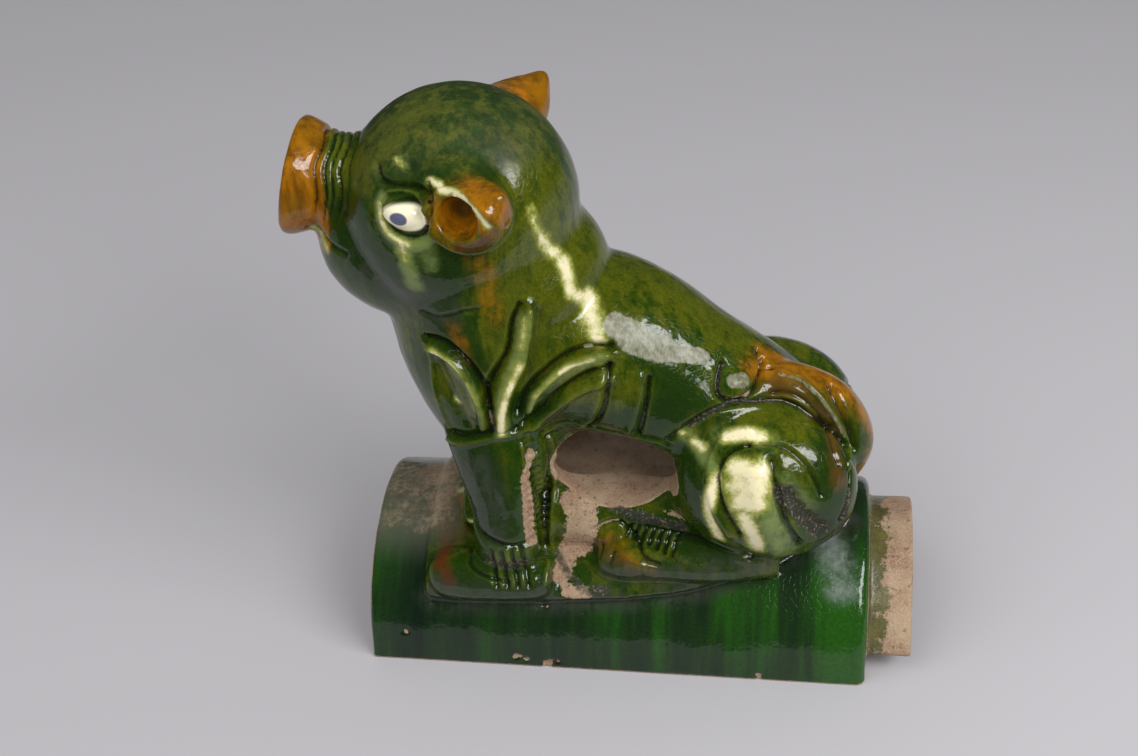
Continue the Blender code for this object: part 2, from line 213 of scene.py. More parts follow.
# The open ear: a bowl pressed in from the side, with a rolled rim. The ears are the same,
# but the far one is pressed in less.
BOWL_CENTRE = (-51, 50, 155)
BOWL_INWARD = (0.18, -0.97, -0.12)
BOWL_RADIUS = 10.5
BOWL_DEPTH = 9.5
BOWL_LIP = 4
BOWL_REACH = 14
EAR_RING = [(-48.5 + 13.5 * math.cos(t), 154 + 11 * math.sin(t)) for t in np.linspace(2.3, -3.4, 12)]
EAR_RING_RIM = 2.0, -2.2
EAR_SHARE = {-1: 1.0, 1: 0.3}

# Lines scored round the tile's flank under the feet, as (x, degrees round from the crown).
LEDGE = [(-76, 61), (-50, 60.5), (-22, 58.5), (11, 55), (38, 49), (67, 35.5), (94, 16)]
LEDGE_LINES = [(1.2, 1.4, 0.0), (0.7, 0.7, 3.4), (0.7, 0.6, -3.2)]

# The band along the slab's edge where a grey sheen is painted as the floor's reflection, a little
# above the lowest scored line, and how far from its middle it begins and ends to fade.
SHEEN_LOWER_DEG = -2.5
SHEEN_EDGES = 2, 9

# Chips knocked out of the glaze on the tile: (x, degrees round, radius, depth).
CHIPS = [
    (-41, 85, 2.2, 1.2), (-37, 86.5, 1.8, 1.0), (-28, 88, 2.4, 1.3), (-23.5, 87, 1.7, 1.0),
    (-28.5, 60, 1.8, 0.8), (-88, 75, 1.5, 0.8), (60, 87.5, 1.9, 1.0), (-12, 62, 1.2, 0.6),
    (20, -84, 2.6, 1.3), (-55, -87, 2.2, 1.2), (78, -80, 1.7, 0.9), (-96, -40, 2.4, 1.2),
]

# How far a chip's outline strays and how finely, how much flatter than long it is, and how
# much smaller its floor is than its radius.
CHIP_RAGGED = 0.55
CHIP_PITCH = 0.55
CHIP_FLAT = 0.6
CHIP_SHARE = 1.25

# Unevenness left by the hands: (height, bumps per unit, offset).
LUMPS = [(0.45, 0.045, (0, 0, 0)), (0.16, 0.14, (7, 3, 5))]

# The tile's feet stay flat up to this height above the ground, in beast units.
FOOT_BAND = 1.5


def beast_point(x, y, z):
    """A point of the beast, in its own units from the middle of the tile's crown."""
    return CROWN + Vector((x, y, z)) * UNIT


def flank_point(x, around_deg, lift):
    """A point over the tile's flank, near side for a positive angle, as beast_point wants it."""
    turn = math.radians(around_deg)
    radius = TILE_RADIUS / UNIT + lift
    return x, -radius * math.sin(turn), radius * math.cos(turn) - TILE_RADIUS / UNIT


def add_ellipsoid(clay, centre, radii, tilt_deg=0.0):
    """A rounded mass; tilt turns it about Y and drops the nose for a positive angle."""
    place = (
        Matrix.Translation(beast_point(*centre))
        @ Matrix.Rotation(math.radians(tilt_deg), 4, "Y")
        @ Matrix.Diagonal(Vector(radii) * UNIT).to_4x4()
    )
    bmesh.ops.create_icosphere(clay, subdivisions=5, radius=1.0, matrix=place)


def catmull_rom(a, b, c, d, t):
    return tuple(
        0.5 * (2 * q + (r - p) * t + (2 * p - 5 * q + 4 * r - s) * t**2 + (3 * q - p - 3 * r + s) * t**3)
        for p, q, r, s in zip(a, b, c, d)
    )


def smooth_path(stations, steps=6):
    """The same stations with more between each two, on a smooth curve through them."""
    padded = [stations[0], *stations, stations[-1]]
    found = []
    for i in range(len(stations) - 1):
        found += [catmull_rom(*padded[i : i + 4], k / steps) for k in range(steps)]
    return [*found, stations[-1]]


def skin_rings(clay, rings):
    for before, after in zip(rings, rings[1:]):
        for k in range(len(before)):
            n = (k + 1) % len(before)
            clay.faces.new((before[k], before[n], after[n], after[k]))
    clay.faces.new(list(reversed(rings[0])))
    clay.faces.new(rings[-1])


def add_loft(clay, stations):
    """A limb through stations of (x, y, z, half thickness across, half depth in the side view)."""
    path = smooth_path(stations)
    centres = [beast_point(*s[:3]) for s in path]
    rings = []
    for i, station in enumerate(path):
        along = (centres[min(i + 1, len(path) - 1)] - centres[max(i - 1, 0)]).normalized()
        across = (Vector((0, 1, 0)) - along * along.y).normalized()
        depth = along.cross(across)
        ring = []
        for k in range(RING_POINTS):
            turn = 2 * math.pi * k / RING_POINTS
            offset = across * (station[3] * math.cos(turn)) + depth * (station[4] * math.sin(turn))
            ring.append(clay.verts.new(centres[i] + offset * UNIT))
        rings.append(ring)
    skin_rings(clay, rings)


def add_pair(clay, stations):
    """A limb on the near side (-Y), where its stations are, and its mirror on the far side."""
    for side in (1, -1):
        add_loft(clay, [(x, side * y, *rest) for x, y, *rest in stations])


def placed(name, data):
    """A new object in the scene, from a mesh, a lamp or a camera."""
    made = bpy.data.objects.new(name, data)
    bpy.context.scene.collection.objects.link(made)
    return made


def object_from(clay, name):
    """The object of a finished mesh, with its faces turned outwards."""
    bmesh.ops.recalc_face_normals(clay, faces=clay.faces)
    mesh = bpy.data.meshes.new(name)
    clay.to_mesh(mesh)
    clay.free()
    return placed(name, mesh)


def add_half_round(clay, x_start, x_end, radius, foot=0.0, round_start=0.0, round_end=0.0):
    """A solid half-round bar along X, from the height foot upwards, with rounded end rims."""
    steps = 6
    quarter = [math.pi / 2 * k / steps for k in range(steps + 1)]
    sections = [
        (x_start + round_start * (1 - math.cos(t)), radius - round_start * (1 - math.sin(t)))
        for t in (quarter if round_start else quarter[:1])
    ]
    sections += [
        (x_end - round_end * (1 - math.sin(t)), radius - round_end * (1 - math.cos(t)))
        for t in (quarter if round_end else quarter[:1])
    ]
    rings = []
    for x, r in sections:
        low = math.asin(foot / r)
        turns = [low + (math.pi - 2 * low) * k / ARC_STEPS for k in range(ARC_STEPS + 1)]
        rings.append([clay.verts.new((x, r * math.cos(t), r * math.sin(t))) for t in turns])
    skin_rings(clay, rings)


def barrel():
    clay = bmesh.new()
    ends = [TILE_CENTRE_X + side * TILE_LENGTH / 2 for side in (-1, 1)]
    add_half_round(clay, *ends, TILE_RADIUS, 0.0, RIM_ROUND / 2, RIM_ROUND)
    return object_from(clay, "glazed_ridge_tile")


def spigot():
    clay = bmesh.new()
    start = TILE_CENTRE_X + TILE_LENGTH / 2 - SPIGOT_OVERLAP
    end = start + SPIGOT_OVERLAP + SPIGOT_LENGTH
    add_half_round(clay, start, end, TILE_RADIUS - SPIGOT_STEP, SPIGOT_FOOT_LIFT)
    return object_from(clay, "spigot")


def channel():
    """The round hollow that runs under the whole tile."""
    clay = bmesh.new()
    reach = TILE_LENGTH + SPIGOT_LENGTH
    turn = Matrix.Translation((TILE_CENTRE_X, 0, 0)) @ Matrix.Rotation(math.pi / 2, 4, "Y")
    bore = TILE_RADIUS - TILE_WALL
    bmesh.ops.create_cone(
        clay, cap_ends=True, segments=2 * ARC_STEPS, radius1=bore, radius2=bore, depth=2 * reach, matrix=turn
    )
    return object_from(clay, "channel")


def window():
    """The oval cut through both sides between the legs."""
    clay = bmesh.new()
    place = (
        Matrix.Translation(beast_point(*WINDOW_CENTRE))
        @ Matrix.Diagonal((WINDOW_LENGTH / 2, 1, WINDOW_HEIGHT / 2, 1))
        @ Matrix.Rotation(math.pi / 2, 4, "X")
    )
    bmesh.ops.create_cone(
        clay, cap_ends=True, segments=ARC_STEPS, radius1=1, radius2=1, depth=3 * TILE_RADIUS, matrix=place
    )
    return object_from(clay, "window")


def add_pad(clay):
    """The slab under the beast: its lower edge rises round the flank from front to back."""
    edge = smooth_path([(-80, 52), (-76, 59), (-50, 59), (-22, 57), (11, 54), (38, 48), (67, 34), (94, 14)])
    steps = 40
    thickness = PAD_THICKNESS / UNIT
    rings = []
    for x, around in edge:
        turns = [around * (1 - 2 * k / steps) for k in range(steps + 1)]
        outer = [flank_point(x, turn, thickness) for turn in turns]
        inner = [flank_point(x, turn, -thickness) for turn in reversed(turns)]
        rings.append([clay.verts.new(beast_point(*p)) for p in outer + inner])
    skin_rings(clay, rings)


def add_head(clay):
    add_ellipsoid(clay, *SKULL)
    add_ellipsoid(clay, (-78, 0, 121), (40, 35, 33), tilt_deg=8)
    add_ellipsoid(clay, (-108, 0, 123), (11, 15, 9), tilt_deg=-20)
    add_loft(
        clay,
        [
            (-88, 0, 142, 25, 25),
            (-99, 0, 143, 20, 20.5),
            (-107, 0, 143.8, 18.5, 19),
            (-113, 0, 144.6, 19.5, 20),
            (-119, 0, 145.5, 22, 22.5),
            (-124, 0, 146.2, 23.5, 24),
            (-126, 0, 146.6, 22.5, 23),
        ],
    )
    ear = [
        (-54, -28, 153, 18.5, 18.5),
        (-47, -40, 153, 15, 15),
        (-40, -48, 158, 11, 11),
        (-33, -54, 167, 2, 2),
    ]
    add_pair(clay, ear)


def add_body(clay):
    add_loft(clay, [*NECK, (-46, 0, 26, 26, 22)])
    add_ellipsoid(clay, (-34, 0, 108), (32, 36, 30), tilt_deg=38)
    add_loft(clay, [*BACK, (88, 0, 18, 18, 18)])


def add_web(clay):
    """The clay between belly and tile, which the windows are cut through."""
    add_loft(clay, WEB)
    skirt = [
        (-64, 0, 4, 31, 18),
        (-20, 0, 4, 34, 24),
        (20, 0, 4, 35, 24),
        (60, 0, 4, 36, 28),
        (88, 0, 2, 20, 18),
    ]
    add_loft(clay, skirt)


def add_legs(clay):
    for side in (-1, 1):
        add_ellipsoid(clay, (59, side * 26, 27), (38, 25.5, 33), tilt_deg=10)
    hind_foot = [
        (*flank_point(66, 34, 6), 9, 9),
        (*flank_point(40, 38, 6), 9, 8),
        (*flank_point(18, 38, 6), 9, 8),
        (*flank_point(2, 38, 5), 9, 8),
        (*flank_point(-7, 38, 4), 6, 6),
    ]
    foreleg = [
        (-47, -28, 50, 15, 22),
        (-45, -33, 34, 14, 18.5),
        (-44, -36, 16, 13, 14.5),
        (-44, -38, -2, 13, 13.5),
        (-44, -33, -14, 13, 12),
    ]
    fore_paw = [
        (*flank_point(-26, 47, 3), 8, 7),
        (*flank_point(-36, 47, 4), 11, 9),
        (*flank_point(-55, 47, 4), 12, 10),
        (*flank_point(-70, 47, 4), 11, 10),
        (*flank_point(-76, 47, 3), 7, 6),
    ]
    for limb in (hind_foot, foreleg, fore_paw):
        add_pair(clay, limb)


def add_tail(clay):
    """The tail is laid over the rump, its root curled into a knob on the near flank."""
    brush = [
        (56, -8, 62, 8, 7),
        (68, -8, 61, 12, 10),
        (82, -7, 50.5, 14, 13),
        (92, -6, 35, 13, 11),
        (93, -6, 18, 5, 4),
    ]
    add_loft(clay, brush)
    add_ellipsoid(clay, (46, -19, 66), (8, 8, 8))


def bake(item):
    """Replace the object's mesh by what its modifiers make of it."""
    bpy.context.view_layer.update()
    view = bpy.context.evaluated_depsgraph_get()
    made = bpy.data.meshes.new_from_object(item.evaluated_get(view))
    item.modifiers.clear()
    item.data = made


def run_together(item, voxel, passes):
    """Fuse the masses of an object and soften them, as pressed clay."""
    remesh = item.modifiers.new("fused", "REMESH")
    remesh.mode = "VOXEL"
    remesh.voxel_size = voxel
    soften = item.modifiers.new("softened", "SMOOTH")
    soften.factor = 0.5
    soften.iterations = passes
    bake(item)


def beast():
    clay = bmesh.new()
    for add in (add_pad, add_body, add_head, add_legs, add_web, add_tail):
        add(clay)
    made = object_from(clay, "beast")
    run_together(made, VOXEL, FUSE_PASSES)
    return made


def eyeballs():
    """Pellets of clay set in the sockets once the head is smooth."""
    clay = bmesh.new()
    (x, y, z), radii = EYEBALL
    for side in (-1, 1):
        add_ellipsoid(clay, (x, side * y, z), radii, EYEBALL_TILT_DEG)
    return object_from(clay, "eyeballs")


def hollow():
    """The space inside the beast: the body's own masses, smaller by the wall."""
    wall = BEAST_WALL / UNIT
    clay = bmesh.new()
    for stations in (NECK, BACK, WEB):
        add_loft(clay, [(x, y, z, across - wall, depth - wall) for x, y, z, across, depth in stations])
    centre, radii = SKULL
    add_ellipsoid(clay, centre, [r - wall for r in radii])
    made = object_from(clay, "hollow")
    run_together(made, 2 * VOXEL, FUSE_PASSES // 2)
    return made


def cut_or_join(item, other, operation):
    boolean = item.modifiers.new(other.name, "BOOLEAN")
    boolean.operation = operation
    boolean.solver = "MANIFOLD"
    boolean.object = other
    bake(item)
    bpy.data.objects.remove(other)


def coordinates(mesh):
    found = np.empty(len(mesh.vertices) * 3)
    mesh.vertices.foreach_get("co", found)
    return found.reshape(-1, 3)


def normals_of(mesh):
    found = np.empty(len(mesh.vertices) * 3)
    mesh.vertex_normals.foreach_get("vector", found)
    return found.reshape(-1, 3)


def put_back(mesh, points):
    mesh.vertices.foreach_set("co", points.ravel())
    mesh.update()


def tree_of(mesh):
    corners = [Vector(p) for p in coordinates(mesh)]
    return BVHTree.FromPolygons(corners, [tuple(f.vertices) for f in mesh.polygons])


def in_beast_units(points):
    return (points - np.array(CROWN)) / UNIT


def laid_on(tree, points, side):
    """The stroke's (x, z) points on the surface, as seen from the given side, in beast units."""
    found = []
    for x, z in smooth_path(points, 4):
        start = beast_point(x, side * 120, z)
        spot = tree.ray_cast(start, Vector((0, -side, 0)))[0]
        if spot is not None:
            found.append((spot - CROWN) / UNIT)
    return np.array(found)


def near_line(own, line, reach):
    """Indices of the points within reach of the line, and how far each of them is from it."""
    low = line.min(axis=0) - reach
    high = line.max(axis=0) + reach
    near = np.nonzero(np.all((own > low) & (own < high), axis=1))[0]
    points = own[near]
    nearest = np.full(len(points), np.inf)
    for a, b in zip(line, line[1:]):
        run = b - a
        share = np.clip((points - a) @ run / max(run @ run, 1e-9), 0, 1)
        nearest = np.minimum(nearest, np.linalg.norm(points - a - share[:, None] * run, axis=1))
    return near, nearest


def strokes_for(side):
    strokes = list(CARVING.values())
    strokes += [(*TOE_CUT, line) for line in TOES]
    strokes += [(*HIND_TOE_CUT, line) for line in HIND_TOES]
    strokes += [(*LOCK_CUT, line) for line in LOCKS]
    strokes += [(*FRINGE_CUT, line) for line in FRINGE_STEPS]
    strokes.append((EAR_RING_RIM[0], EAR_RING_RIM[1] * EAR_SHARE[side], EAR_RING))
    return strokes + list(TAIL_CARVING.values()) if side < 0 else strokes


def wrinkle_depths(own):
    """How deep each point lies in the rings incised round the snout's neck."""
    near_snout = np.hypot(own[:, 1], own[:, 2] - SNOUT_AXIS_HEIGHT) < SNOUT_REACH
    lean = WRINKLE_LEAN * (own[:, 2] - SNOUT_AXIS_HEIGHT - SNOUT_REACH)
    lean = lean + WRINKLE_WAVE * np.sin(0.25 * own[:, 2] + own[:, 1] * 0.2)
    rings = [deep * np.exp(-(((own[:, 0] - x - lean) / width) ** 2)) for x, width, deep in WRINKLES]
    return sum(rings) * near_snout * (0.25 + 0.75 * step(own[:, 2], *WRINKLE_FADE))


def ledge_line(side, lower):
    """The slab's lower edge on one flank, or a line some degrees below it."""
    return np.array([flank_point(x, -side * (around + lower), 1.0) for x, around in smooth_path(LEDGE)])


def ledge_depths(own):
    """The scored lines that run along the foot of the slab, on both flanks."""
    depth = np.zeros(len(own))
    for side in (-1, 1):
        for width, deep, drop in LEDGE_LINES:
            near, away = near_line(own, ledge_line(side, drop), 4 * width + 3)
            depth[near] += deep * np.exp(-((away / (width + 0.8)) ** 2))
    return depth


def chip_depths(own):
    """Flakes knocked off, with ragged outlines that are longer than they are high."""
    depth = np.zeros(len(own))
    for x, around, radius, deep in CHIPS:
        spot = np.array([flank_point(x, around, 0)] * 2)
        near, away = near_line(own, spot, 3 * radius)
        broken = np.array([1 + CHIP_RAGGED * noise.noise(Vector(p) * CHIP_PITCH) for p in own[near]])
        upright = CHIP_FLAT * np.abs(own[near, 2] - spot[0, 2])
        longer = np.hypot(away, upright) / np.hypot(1, CHIP_FLAT)
        depth[near] += deep * np.exp(-((longer * CHIP_SHARE * broken / radius) ** 4))
    return depth


def press_bowls(own):
    """The points with the bowl of each ear pressed in, along one line and not along normals."""
    pressed = own.copy()
    for side in (-1, 1):
        mirror = np.array([1, side, 1])
        inward = np.array(BOWL_INWARD) * mirror
        inward = inward / np.linalg.norm(inward)
        gap = own - np.array(BOWL_CENTRE) * mirror
        in_by = gap @ inward
        radial = np.linalg.norm(gap - in_by[:, None] * inward, axis=1) / BOWL_RADIUS
        floor_at = (BOWL_DEPTH * EAR_SHARE[side]) * (1 - step(radial, 0.15, 1.0))
        floor_at = floor_at - BOWL_LIP * step(radial, 0.6, 1.0)
        sunk = (radial < 1) & (np.abs(in_by) < BOWL_REACH) & (in_by < floor_at)
        pressed[sunk] += (floor_at - in_by)[sunk, None] * inward
    return pressed


def lumps(own):
    """Slow, shallow unevenness of clay pressed and smoothed by hand."""
    height = np.zeros(len(own))
    for high, pitch, shift in LUMPS:
        height += [high * noise.noise(Vector(p) * pitch + Vector(shift)) for p in own]
    return height


def carve(item):
    """Move the surface along its normals, into each groove and out of each ridge."""
    mesh = item.data
    points = coordinates(mesh)
    own = in_beast_units(points)
    tree = tree_of(mesh)
    depth = wrinkle_depths(own) + ledge_depths(own) + chip_depths(own)
    for side in (-1, 1):
        for width, stroke_depth, points_xz in strokes_for(side):
            line = laid_on(tree, points_xz, side)
            if len(line) < 2:
                continue
            near, away = near_line(own, line, 3 * width)
            depth[near] += stroke_depth * np.exp(-((away / width) ** 2))
    depth += lumps(own) * (own[:, 2] > FOOT_BAND - TILE_RADIUS / UNIT)
    moved = points - normals_of(mesh) * (depth * UNIT)[:, None]
    put_back(mesh, np.array(CROWN) + press_bowls(in_beast_units(moved)) * UNIT)


def bends(mesh, reach):
    """How far each vertex stands proud of its surroundings, in beast units, over a few edges."""
    edges = np.empty(len(mesh.edges) * 2, dtype=np.int32)
    mesh.edges.foreach_get("vertices", edges)
    first, second = edges.reshape(-1, 2).T
    count = sum(np.bincount(ends, minlength=len(mesh.vertices)) for ends in (first, second))
    points = coordinates(mesh)
    flat = points.copy()
    for _ in range(reach):
        total = np.empty_like(flat)
        for axis in range(3):
            total[:, axis] = np.bincount(first, flat[second, axis], len(flat))
            total[:, axis] += np.bincount(second, flat[first, axis], len(flat))
        flat = 0.5 * flat + 0.5 * total / count[:, None]
    return np.einsum("ij,ij->i", points - flat, normals_of(mesh)) / UNIT


def mask(mesh, name, values):
    layer = mesh.attributes.new(name, "FLOAT", "POINT")
    layer.data.foreach_set("value", np.clip(values, 0, 1).astype(np.float32))


def step(values, low, high):
    """0 below low, 1 above high, and smooth between them."""
    share = np.clip((values - low) / (high - low), 0, 1)
    return share * share * (3 - 2 * share)


# Strokes of colour as (side, half width, strength, points), where side is -1 for the near one
# and 0 for both. Points of (x, z) lie on the surface as seen from the side, and points of
# (x, y, z) are given on the near side.
CREAM = [
    (0, 1.6, 0.7, [(-27.4, 149), (-26, 142), (-24, 136)]),
    (0, 2.2, 0.9, [(-24, 135), (-21.5, 129), (-17, 124)]),
    (0, 2.6, 1.0, [(-18, 124), (-15.5, 118), (-14.5, 113)]),
    (0, 2.2, 0.8, [(-14, 113), (-11.5, 109), (-8, 107)]),
    (0, 3.4, 1.0, [(-8.5, 107), (-7, 101)]),
    (0, 2.6, 0.9, [(-6, 100), (-4, 94)]),
    (0, 1.3, 0.7, [(-67, 92.5), (-60, 89), (-56, 84)]),
    (0, 1.2, 0.5, [(-54, 81), (-50.5, 72)]),
    (0, 1.0, 0.8, [(-60, 70), (-58.6, 68.6)]),
    (0, 1.6, 0.75, [(-33, 89.2), (-36.6, 80), (-38, 76)]),
    (0, 1.6, 1.0, [(-39, 74), (-41, 66), (-42.1, 58)]),
    (0, 1.2, 0.55, [(-30.5, 108), (-32, 96)]),
    (0, 1.3, 0.9, [(-6, 88.2), (-14, 86), (-18, 84)]),
    (0, 1.2, 0.5, [(-20, 82.6), (-28, 74)]),
    (0, 1.1, 0.75, [(-82, 153), (-81.4, 147.6), (-77.4, 142.8), (-71, 140.6)]),
    (0, 1.5, 0.7, [(-73.6, 139.6), (-73, 134)]),
    (0, 4.4, 1.0, [(50, 46.4), (59, 47.4)]),
    (0, 4.4, 1.0, [(49.4, 41), (58.6, 42)]),
    (0, 4.2, 1.0, [(51, 34), (57, 36)]),
    (0, 3.2, 1.0, [(53.5, 28), (56.6, 19), (57.6, 12)]),
    (0, 2.4, 0.95, [(43, 14), (39, 26), (39.6, 35), (42, 42)]),
    (0, 2.6, 1.0, [(45, 56.2), (51, 57.4), (58, 56.4)]),
    # A painted highlight along the near ear's upper rim.
    (-1, 1.3, 1.0, [(-62, 164.2), (-56, 164.6), (-49, 164.6), (-42, 162), (-37.6, 156)]),
    (0, 1.8, 0.6, [(-116, 131), (-110, 125)]),
    (0, 1.3, 0.9, [(27, 54), (29, 53.4)]),
    (0, 1.6, 0.9, [(32, 51), (36, 50)]),
    # Painted glints on the two curls of the paw.
    (0, 1.2, 0.8, [(-69.5, 3), (-67.5, 3.4)]),
    (0, 1.0, 0.8, [(-60.4, 4.6), (-59, 4.8)]),
    # A painted highlight on the near side of the forehead.
    (-1, 1.6, 0.6, [(-76, 167), (-74, 166.4)]),
]
PALE_GREEN = [
    (0, 2.6, 1.0, [(-81.5, 155), (-81, 148), (-77, 142.5), (-70, 140), (-63, 143)]),
    (0, 3.2, 1.0, [(-74, 141), (-72.6, 132), (-71, 122)]),
    (0, 3.0, 0.6, [(-64, 140), (-63, 132)]),
    (0, 5.0, 0.75, [(61, 34), (64, 24), (67, 14), (70, 4)]),
    (0, 3.0, 0.8, [(28, 54), (34, 50), (40, 46)]),
    (0, 2.4, 0.9, [(-67, 91), (-60, 87), (-54, 79), (-51, 68)]),
    (0, 3.2, 0.8, [(-31, 107), (-34, 90), (-40, 73), (-42, 58)]),
    (0, 2.4, 0.8, [(-3, 88), (-14, 85), (-22.5, 79), (-30, 70)]),
    (0, 3.4, 0.5, [(42, 55), (52, 57.6), (62, 55)]),
    (0, 3.0, 0.4, [(68, 44), (74, 38), (78, 30)]),
]
OLIVE = [
    (0, 14.0, 1.0, [(-26, 142), (-18, 120), (-8, 100)]),
    (0, 10.0, 0.8, [(-40, 118), (-22, 92), (-10, 86)]),
    (0, 8.0, 0.8, [(-36, 100), (-40, 76)]),
    (0, 6.0, 0.7, [(-60, 82), (-56, 66)]),
    (0, 8.0, 0.7, [(-6, 76), (6, 74)]),
    (0, 9.0, 0.8, [(-100, 152), (-88, 166), (-74, 178)]),
    (0, 8.0, 0.7, [(-34, 178), (-28, 164), (-28, 150)]),
    (0, 7.0, 0.8, [(36, 60), (52, 62), (70, 58), (80, 46)]),
    (0, 12.0, 0.7, [(-8, -6, 124), (20, -5, 106), (48, -4, 86)]),
    (0, 5.0, 0.8, [(-6, 3), (1, 2), (8, 0)]),
]
DEEP = [
    (0, 11.0, 1.0, [(-97, 140), (-88, 128), (-76, 122), (-60, 126)]),
    (0, 7.0, 0.9, [(-62, 103), (-55, 92), (-50, 84)]),
    (0, 8.0, 0.9, [(14, 62), (27, 66)]),
    (0, 7.0, 0.7, [(22, 76), (40, 62)]),
    (0, 11.0, 0.9, [(-53, 44), (-50, 28), (-47, 12)]),
    (0, 9.0, 0.8, [(-60, -8), (-44, -12), (-34, -12)]),
    (0, 6.0, 0.9, [(10, 7), (30, 5), (44, 4)]),
    (0, 8.0, 0.9, [(84, 46), (90, 34), (86, 16)]),
    (0, 6.0, 0.8, [(28, 44), (33, 32), (40, 18)]),
    (0, 4.0, 0.7, [(36, 60), (52, 64), (68, 61)]),
    (0, 5.0, 0.7, [(-34, 70), (-20, 60), (-4, 60)]),
]
# Grey sheen on the foreleg, the lower jaw and under the feet: painted reflection of the pale floor.
FLOOR_SHEEN = [
    (0, 7.0, 1.0, [(-54, 40), (-51, 28), (-48, 14)]),
    (0, 7.0, 0.9, [(-92, 122), (-76, 113), (-62, 111)]),
    (0, 5.0, 0.9, [(-2, -9), (20, -7), (44, -4), (62, 0)]),
    (0, 5.0, 0.9, [(-74, -14), (-50, -17), (-30, -17)]),
]
AMBER = [
    (0, 9.0, 1.0, [(-52, -40, 152), (-46, -46, 156), (-40, -50, 160), (-34, -54, 166)]),
    (1, 12.0, 1.0, [(-50, -30, 166), (-40, -40, 166), (-34, -54, 166)]),
    (0, 4.0, 0.36, [(-47, 142), (-45, 132), (-43, 118), (-42, 108)]),
    (0, 3.0, 0.32, [(-58, 104), (-55, 96), (-53, 90)]),
    (0, 3.4, 0.6, [(-72, 3), (-66, 2)]),
    (0, 3.2, 0.36, [(-6, 1), (0, 2), (8, -2), (14, -5)]),
    (-1, 5.0, 0.7, [(54, -14, 73), (62, -8, 72)]),
    (-1, 8.5, 1.0, [(62, -8, 70), (72, -6, 70), (86, -4, 58), (97, -3, 38), (96, -4, 20)]),
]
BROWN = [
    (-1, 4.5, 0.9, [(62, 66), (72, 65), (80, 58), (86, 48), (89, 38)]),
    (0, 3.0, 0.7, [(-52, 157), (-50.5, 153.5)]),
    (0, 7.0, 0.35, [(-38, 172), (-31, 160), (-36, 146)]),
    (0, 3.4, 0.7, [(-7, -1), (0, -3), (8, -6)]),
    (0, 6.0, 0.5, [(-72, 1), (-66, -4)]),
]
RUST = [
    (0, 3.4, 0.9, [(-74.5, -1), (-71, -6)]),
    (0, 3.0, 0.7, [(-70, -6), (-66, -11)]),
    (0, 2.6, 0.6, [(-50, 144), (-44, 145), (-40, 149)]),
]
BARE = [
    (0, 3.6, 1.0, [(-19, 16), (-16, 8), (-19, -4), (-22, -14)]),
    (0, 3.4, 1.0, [(-11, 16), (-11, 6), (-14, -6)]),
    (0, 2.2, 0.8, [(-4, 18), (2, 15)]),
    (0, 2.8, 1.0, [(-19, -19), (-12, -19.6)]),
    (0, 2.2, 1.0, [(-32.6, 45), (-33, 34), (-33.4, 24), (-33.4, 14), (-33, 5)]),
    (0, 1.0, 0.7, [(-10, 1), (-5, 7.4), (1, 9)]),
    (0, 0.9, 0.55, [(-47.6, 72), (-46.2, 64), (-46, 59)]),
    (-1, 1.2, 0.8, [(47, 66.4), (52, 66)]),
    (0, 1.6, 0.6, [(20, 14), (28, 13)]),
]
# Silvery, weathered glaze on the back, the knob, the tail's ridge and a tuft, which also serves as a painted
# highlight of the key light there.
SILVERED_HIGHLIGHT = [
    (-1, 5.0, 1.0, [(2.5, 98), (8, 95)]),
    (-1, 5.2, 1.0, [(8, 93.5), (20, 88)]),
    (-1, 3.2, 0.95, [(22, 86.5), (35, 81.8)]),
    (-1, 3.2, 1.0, [(47.5, 73.5), (51, 73)]),
    (-1, 0.9, 0.7, [(64, 70.4), (72.2, 69), (80.3, 63), (86.4, 55), (90.4, 47)]),
    (-1, 1.1, 0.9, [(-9, 91.5), (-7, 91)]),
]
# A whitish patch on the barrel's right shoulder: a painted highlight of the key light.
SHOULDER_HIGHLIGHT = [
    (0, 6.0, 0.6, [(82, -18, -3), (89, -28, -9), (92, -36, -17)]),
]
MUD = [
    (0, 4.0, 1.0, [(67, 38), (74, 28), (82, 17)]),
    (0, 2.2, 0.9, [(0, 14), (14, 11), (28, 8)]),
    (0, 1.6, 0.8, [(30.7, 57.6), (42.1, 63.4), (57.2, 62.9)]),
    (-1, 1.4, 0.8, [(42, 76), (41, 70), (46, 65.4)]),
    (0, 2.4, 0.8, [(-24, -8), (-14, -18), (-4, -18)]),
    (0, 2.4, 0.9, [(-52, 0), (-44, -3), (-36, -3)]),
    (0, 2.4, 0.9, [(92, 30), (90, 14), (78, 4)]),
]


def painted(own, tree, strokes):
    """How strongly each point is covered by a list of colour strokes."""
    cover = np.zeros(len(own))
    for side, width, strength, points in strokes:
        for face in (-1, 1) if side == 0 else (side,):
            if len(points[0]) == 3:
                line = np.array([(x, -face * y, z) for x, y, z in smooth_path(points)])
            else:
                line = laid_on(tree, points, face)
            if len(line) < 2:
                continue
            near, away = near_line(own, line, 2 * width)
            cover[near] = np.maximum(cover[near], strength * (1 - step(away, 0.1 * width, 2 * width)))
    return cover


def from_axis(own):
    """How far each point is from the tile's axis."""
    return np.hypot(own[:, 1], own[:, 2] + TILE_RADIUS / UNIT)


